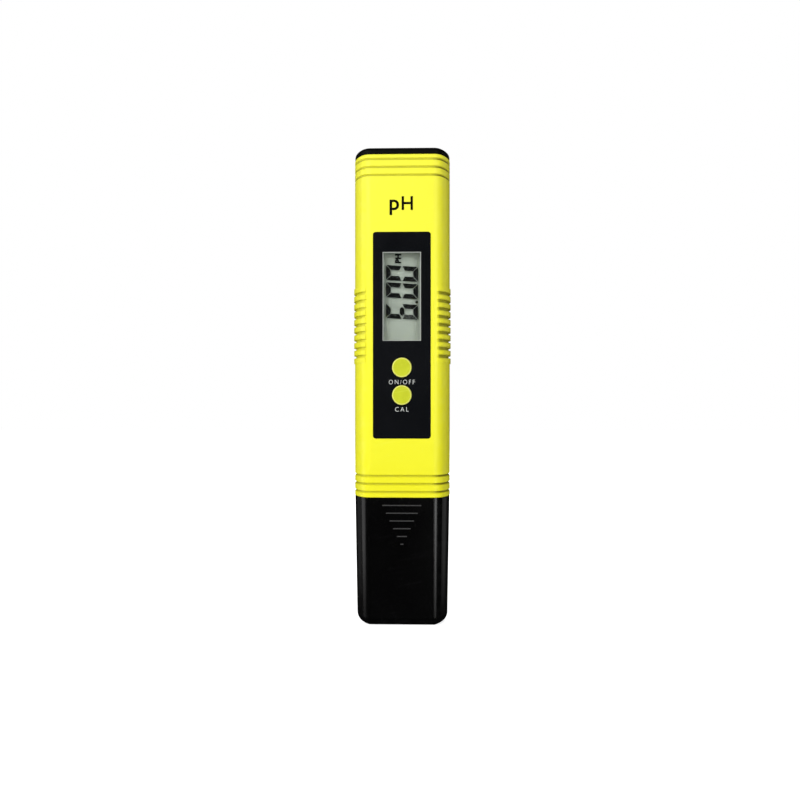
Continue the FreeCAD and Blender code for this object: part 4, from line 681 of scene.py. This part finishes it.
cell_level = (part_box("button_cell_1")[0].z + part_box("button_cell_1")[1].z) / 2
can, tree, shader = new_material("cell_can", {})
drawn = add(tree, "Group", {"Stretch": (5200.0, 300.0, 300.0)}, node_tree=brushed)
apart = add(tree, "VectorMath", {0: add(tree, "TexCoord").outputs["Object"], 1: (0.0, 0.0, -cell_level)},
            operation="ADD")
axes = add(tree, "SeparateXYZ", {"Vector": apart.outputs[0]})
radius = sums(tree, "SQRT", sums(tree, "MULTIPLY_ADD", axes.outputs["Y"], axes.outputs["Y"],
                                 sums(tree, "MULTIPLY", axes.outputs["Z"], axes.outputs["Z"])))
GASKET_INNER, GASKET_OUTER = 0.00468, 0.00500
gasket = sums(tree, "MULTIPLY", sums(tree, "GREATER_THAN", radius, GASKET_INNER),
              sums(tree, "LESS_THAN", radius, GASKET_OUTER))
tree.links.new(blend_colour(tree, gasket, (0.76, 0.75, 0.73), (0.06, 0.11, 0.20)), shader.inputs["Base Color"])
tree.links.new(sums(tree, "SUBTRACT", 1.0, gasket), shader.inputs["Metallic"])
tree.links.new(sums(tree, "MULTIPLY_ADD", gasket, 0.3, drawn.outputs["Roughness"]), shader.inputs["Roughness"])
bump(tree, shader, drawn.outputs["Height"], 0.05, 0.00002)
dress(can, "button_cell_1", "button_cell_2", "button_cell_3", "button_cell_4")


# ------------------------------------------------------------------ probe
# A black collar holds the electrode tube in the case's lower end. The tube carries the thin glass bulb and stem,
# its silver wires, a porous ceramic junction and a steel temperature sensor, and is closed with cast resin.
dress(moulded("collar_black", (0.020, 0.020, 0.022), (0.014, 0.014, 0.015), (0.07, 0.07, 0.07), (0.4, 0.5), 2400.0,
              70.0, 0.12, 0.35), "probe_collar")
dress(moulded("tube_black", (0.024, 0.025, 0.028), (0.018, 0.018, 0.020), (0.08, 0.08, 0.085), (0.16, 0.26), 2400.0,
              70.0, 0.05, 0.3), "electrode_body")
dress(clear_glass("bulb_glass", (0.90, 0.955, 0.95), (0.0, 0.03), 1.52, 0.05), "glass_electrode")
dress(clear_glass("bead_glass", (0.75, 0.40, 0.14), (0.05, 0.1), 1.52, 0.05), "thermistor_bead")
dress(metal("chlorided_silver", (0.70, 0.68, 0.66), (0.16, 0.13, 0.15), (900.0, 900.0, 1200.0), 0.8, 0.3),
      "inner_reference_wire", "outer_reference_wire")
dress(metal("sensor_steel", (0.60, 0.60, 0.61), (0.45, 0.44, 0.43), (300.0, 300.0, 8000.0), 0.25),
      "temperature_probe")

ceramic, tree, shader = new_material("porous_ceramic", {"Specular IOR Level": 0.3})
place = add(tree, "TexCoord").outputs["Object"]
pores = add(tree, "TexVoronoi", {"Vector": place, "Scale": 6000.0})
pore = fit_range(tree, pores.outputs["Distance"], 0.0, 0.35)
tree.links.new(blend_colour(tree, pore, (0.60, 0.58, 0.52), (0.84, 0.83, 0.79)), shader.inputs["Base Color"])
tree.links.new(fit_range(tree, pore, 0.0, 1.0, 0.95, 0.7), shader.inputs["Roughness"])
bump(tree, shader, pore, 0.5, 0.00006)
dress(ceramic, "reference_junction")

dress(moulded("cast_resin", (0.72, 0.70, 0.62), (0.60, 0.57, 0.48), (0.80, 0.79, 0.72), (0.15, 0.3), 900.0, 350.0,
              0.3, 0.2), "electrode_plug")
for name, colour, deeper, node in (("lead_white", (0.78, 0.78, 0.75), (0.70, 0.70, 0.66), "signal_lead"),
                                   ("lead_blue", (0.03, 0.11, 0.48), (0.02, 0.08, 0.38), "reference_lead"),
                                   ("lead_red", (0.48, 0.02, 0.02), (0.38, 0.015, 0.015), "thermistor_leads")):
    dress(moulded(name, colour, deeper, tuple(min(1.0, c + 0.1) for c in colour), (0.35, 0.45), 1800.0, 500.0, 0.12,
                  0.2), node)


# ------------------------------------------------------------------ cap
# A glossy black moulded cap pushed over the probe. Six raised finger marks on its front shorten downwards, and
# their crests are lightened to grey, a painted highlight.
cap_black, tree, shader = new_material("cap_black", {"Specular IOR Level": 0.5})
skin = add(tree, "Group", {"Grain": 2600.0, "Flow": 40.0, "Smoothest": 0.2, "Dullest": 0.28},
           node_tree=moulded_skin)
lines = add(tree, "Group", node_tree=hairlines)
worn = add(tree, "Group", {"Reach": 0.86, "Patches": 400.0}, node_tree=edge_rub)
cap_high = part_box("protective_cap")[1]
axes = add(tree, "SeparateXYZ", {"Vector": add(tree, "TexCoord").outputs["Object"]})
CAP_TAPER, BASE_FRONT, MARKS_HALF_WIDTH, MARKS_DROP = 0.00075, 0.00815, 0.0068, 0.0172
face = sums(tree, "MULTIPLY_ADD", axes.outputs["Z"], -CAP_TAPER / cap_high.z, -BASE_FRONT)
painted_crest_highlight = fit_range(tree, sums(tree, "SUBTRACT", face, axes.outputs["Y"]), 0.00010, 0.00020)
near_marks = sums(tree, "MULTIPLY", painted_crest_highlight,
                  sums(tree, "LESS_THAN", sums(tree, "ABSOLUTE", axes.outputs["X"]), MARKS_HALF_WIDTH))
marks = sums(tree, "MULTIPLY", near_marks, sums(tree, "GREATER_THAN", axes.outputs["Z"], cap_high.z - MARKS_DROP))
tone = blend_colour(tree, skin.outputs["Tone"], (0.0008, 0.0008, 0.0009), (0.0014, 0.0014, 0.0016))
rubbed = blend_colour(tree, sums(tree, "MULTIPLY", worn.outputs["Mask"], 0.12), tone, (0.02, 0.02, 0.021))
scratched = blend_colour(tree, sums(tree, "MULTIPLY", lines.outputs["Mask"], 0.1), rubbed, (0.03, 0.03, 0.032))
# Painted highlight: the finger marks' crests are lightened to grey.
tree.links.new(blend_colour(tree, marks, scratched, (0.045, 0.045, 0.045)), shader.inputs["Base Color"])
tree.links.new(sums(tree, "MULTIPLY_ADD", marks, 0.25, skin.outputs["Roughness"]), shader.inputs["Roughness"])
bump(tree, shader, sums(tree, "MULTIPLY_ADD", lines.outputs["Mask"], -0.1, skin.outputs["Height"]), 0.04, 0.0001)
dress(cap_black, "protective_cap")


# ------------------------------------------------------------------ sponge
# A damp die-cut pad of open-cell sponge on the cap's floor, which keeps the glass bulb wet.
sponge_low, sponge_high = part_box("storage_sponge")
bpy.ops.mesh.primitive_cube_add(size=1.0, location=(sponge_low + sponge_high) / 2,
                                scale=(sponge_high - sponge_low) * 0.97)
sponge = bpy.context.object
bpy.ops.object.transform_apply(location=True, rotation=False, scale=True)
bpy.ops.object.mode_set(mode="EDIT")
bpy.ops.mesh.select_all(action="DESELECT")
bpy.ops.object.mode_set(mode="OBJECT")
for edge in sponge.data.edges:
    ends = [sponge.data.vertices[k].co for k in edge.vertices]
    edge.select = abs(ends[0].z - ends[1].z) > 0.001
bpy.ops.object.mode_set(mode="EDIT")
bpy.ops.mesh.select_mode(type="EDGE")
bpy.ops.mesh.bevel(offset=0.0046, segments=6, affect="EDGES", clamp_overlap=True)
bpy.ops.mesh.select_all(action="SELECT")
bpy.ops.object.mode_set(mode="OBJECT")
remesh = sponge.modifiers.new("even", "REMESH")
remesh.mode, remesh.voxel_size = "VOXEL", 0.00028
bpy.ops.object.modifier_apply(modifier="even")
for name, kind, size, strength in (("cells", "VORONOI", 0.0011, 0.00055), ("waves", "CLOUDS", 0.006, 0.0004)):
    pattern = bpy.data.textures.new(name, kind)
    pattern.noise_scale = size
    push = sponge.modifiers.new(name, "DISPLACE")
    push.texture, push.texture_coords, push.strength, push.mid_level = pattern, "LOCAL", strength, 1.0
    bpy.ops.object.modifier_apply(modifier=name)
bpy.ops.object.shade_smooth()
placed(sponge, "cap_sponge")

foam, tree, shader = new_material("sponge_foam", {"Specular IOR Level": 0.3, "Sheen Weight": 0.2,
                                                  "Sheen Roughness": 0.6})
place = add(tree, "TexCoord").outputs["Object"]
cells = add(tree, "TexVoronoi", {"Vector": place, "Scale": 1500.0})
walls = fit_range(tree, cells.outputs["Distance"], 0.1, 0.6)
damp = add(tree, "TexNoise", {"Vector": place, "Scale": 130.0, "Detail": 3.0})
wet = fit_range(tree, damp.outputs["Fac"], 0.45, 0.62)
colour = blend_colour(tree, walls, (0.42, 0.33, 0.12), (0.80, 0.72, 0.45))
tree.links.new(blend_colour(tree, sums(tree, "MULTIPLY", wet, 0.35), colour, (0.40, 0.32, 0.13)),
               shader.inputs["Base Color"])
tree.links.new(fit_range(tree, wet, 0.0, 1.0, 0.9, 0.5), shader.inputs["Roughness"])
bump(tree, shader, walls, 0.8, 0.0003)
sponge.data.materials.append(foam)
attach(sponge, "root")
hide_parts("storage_sponge")
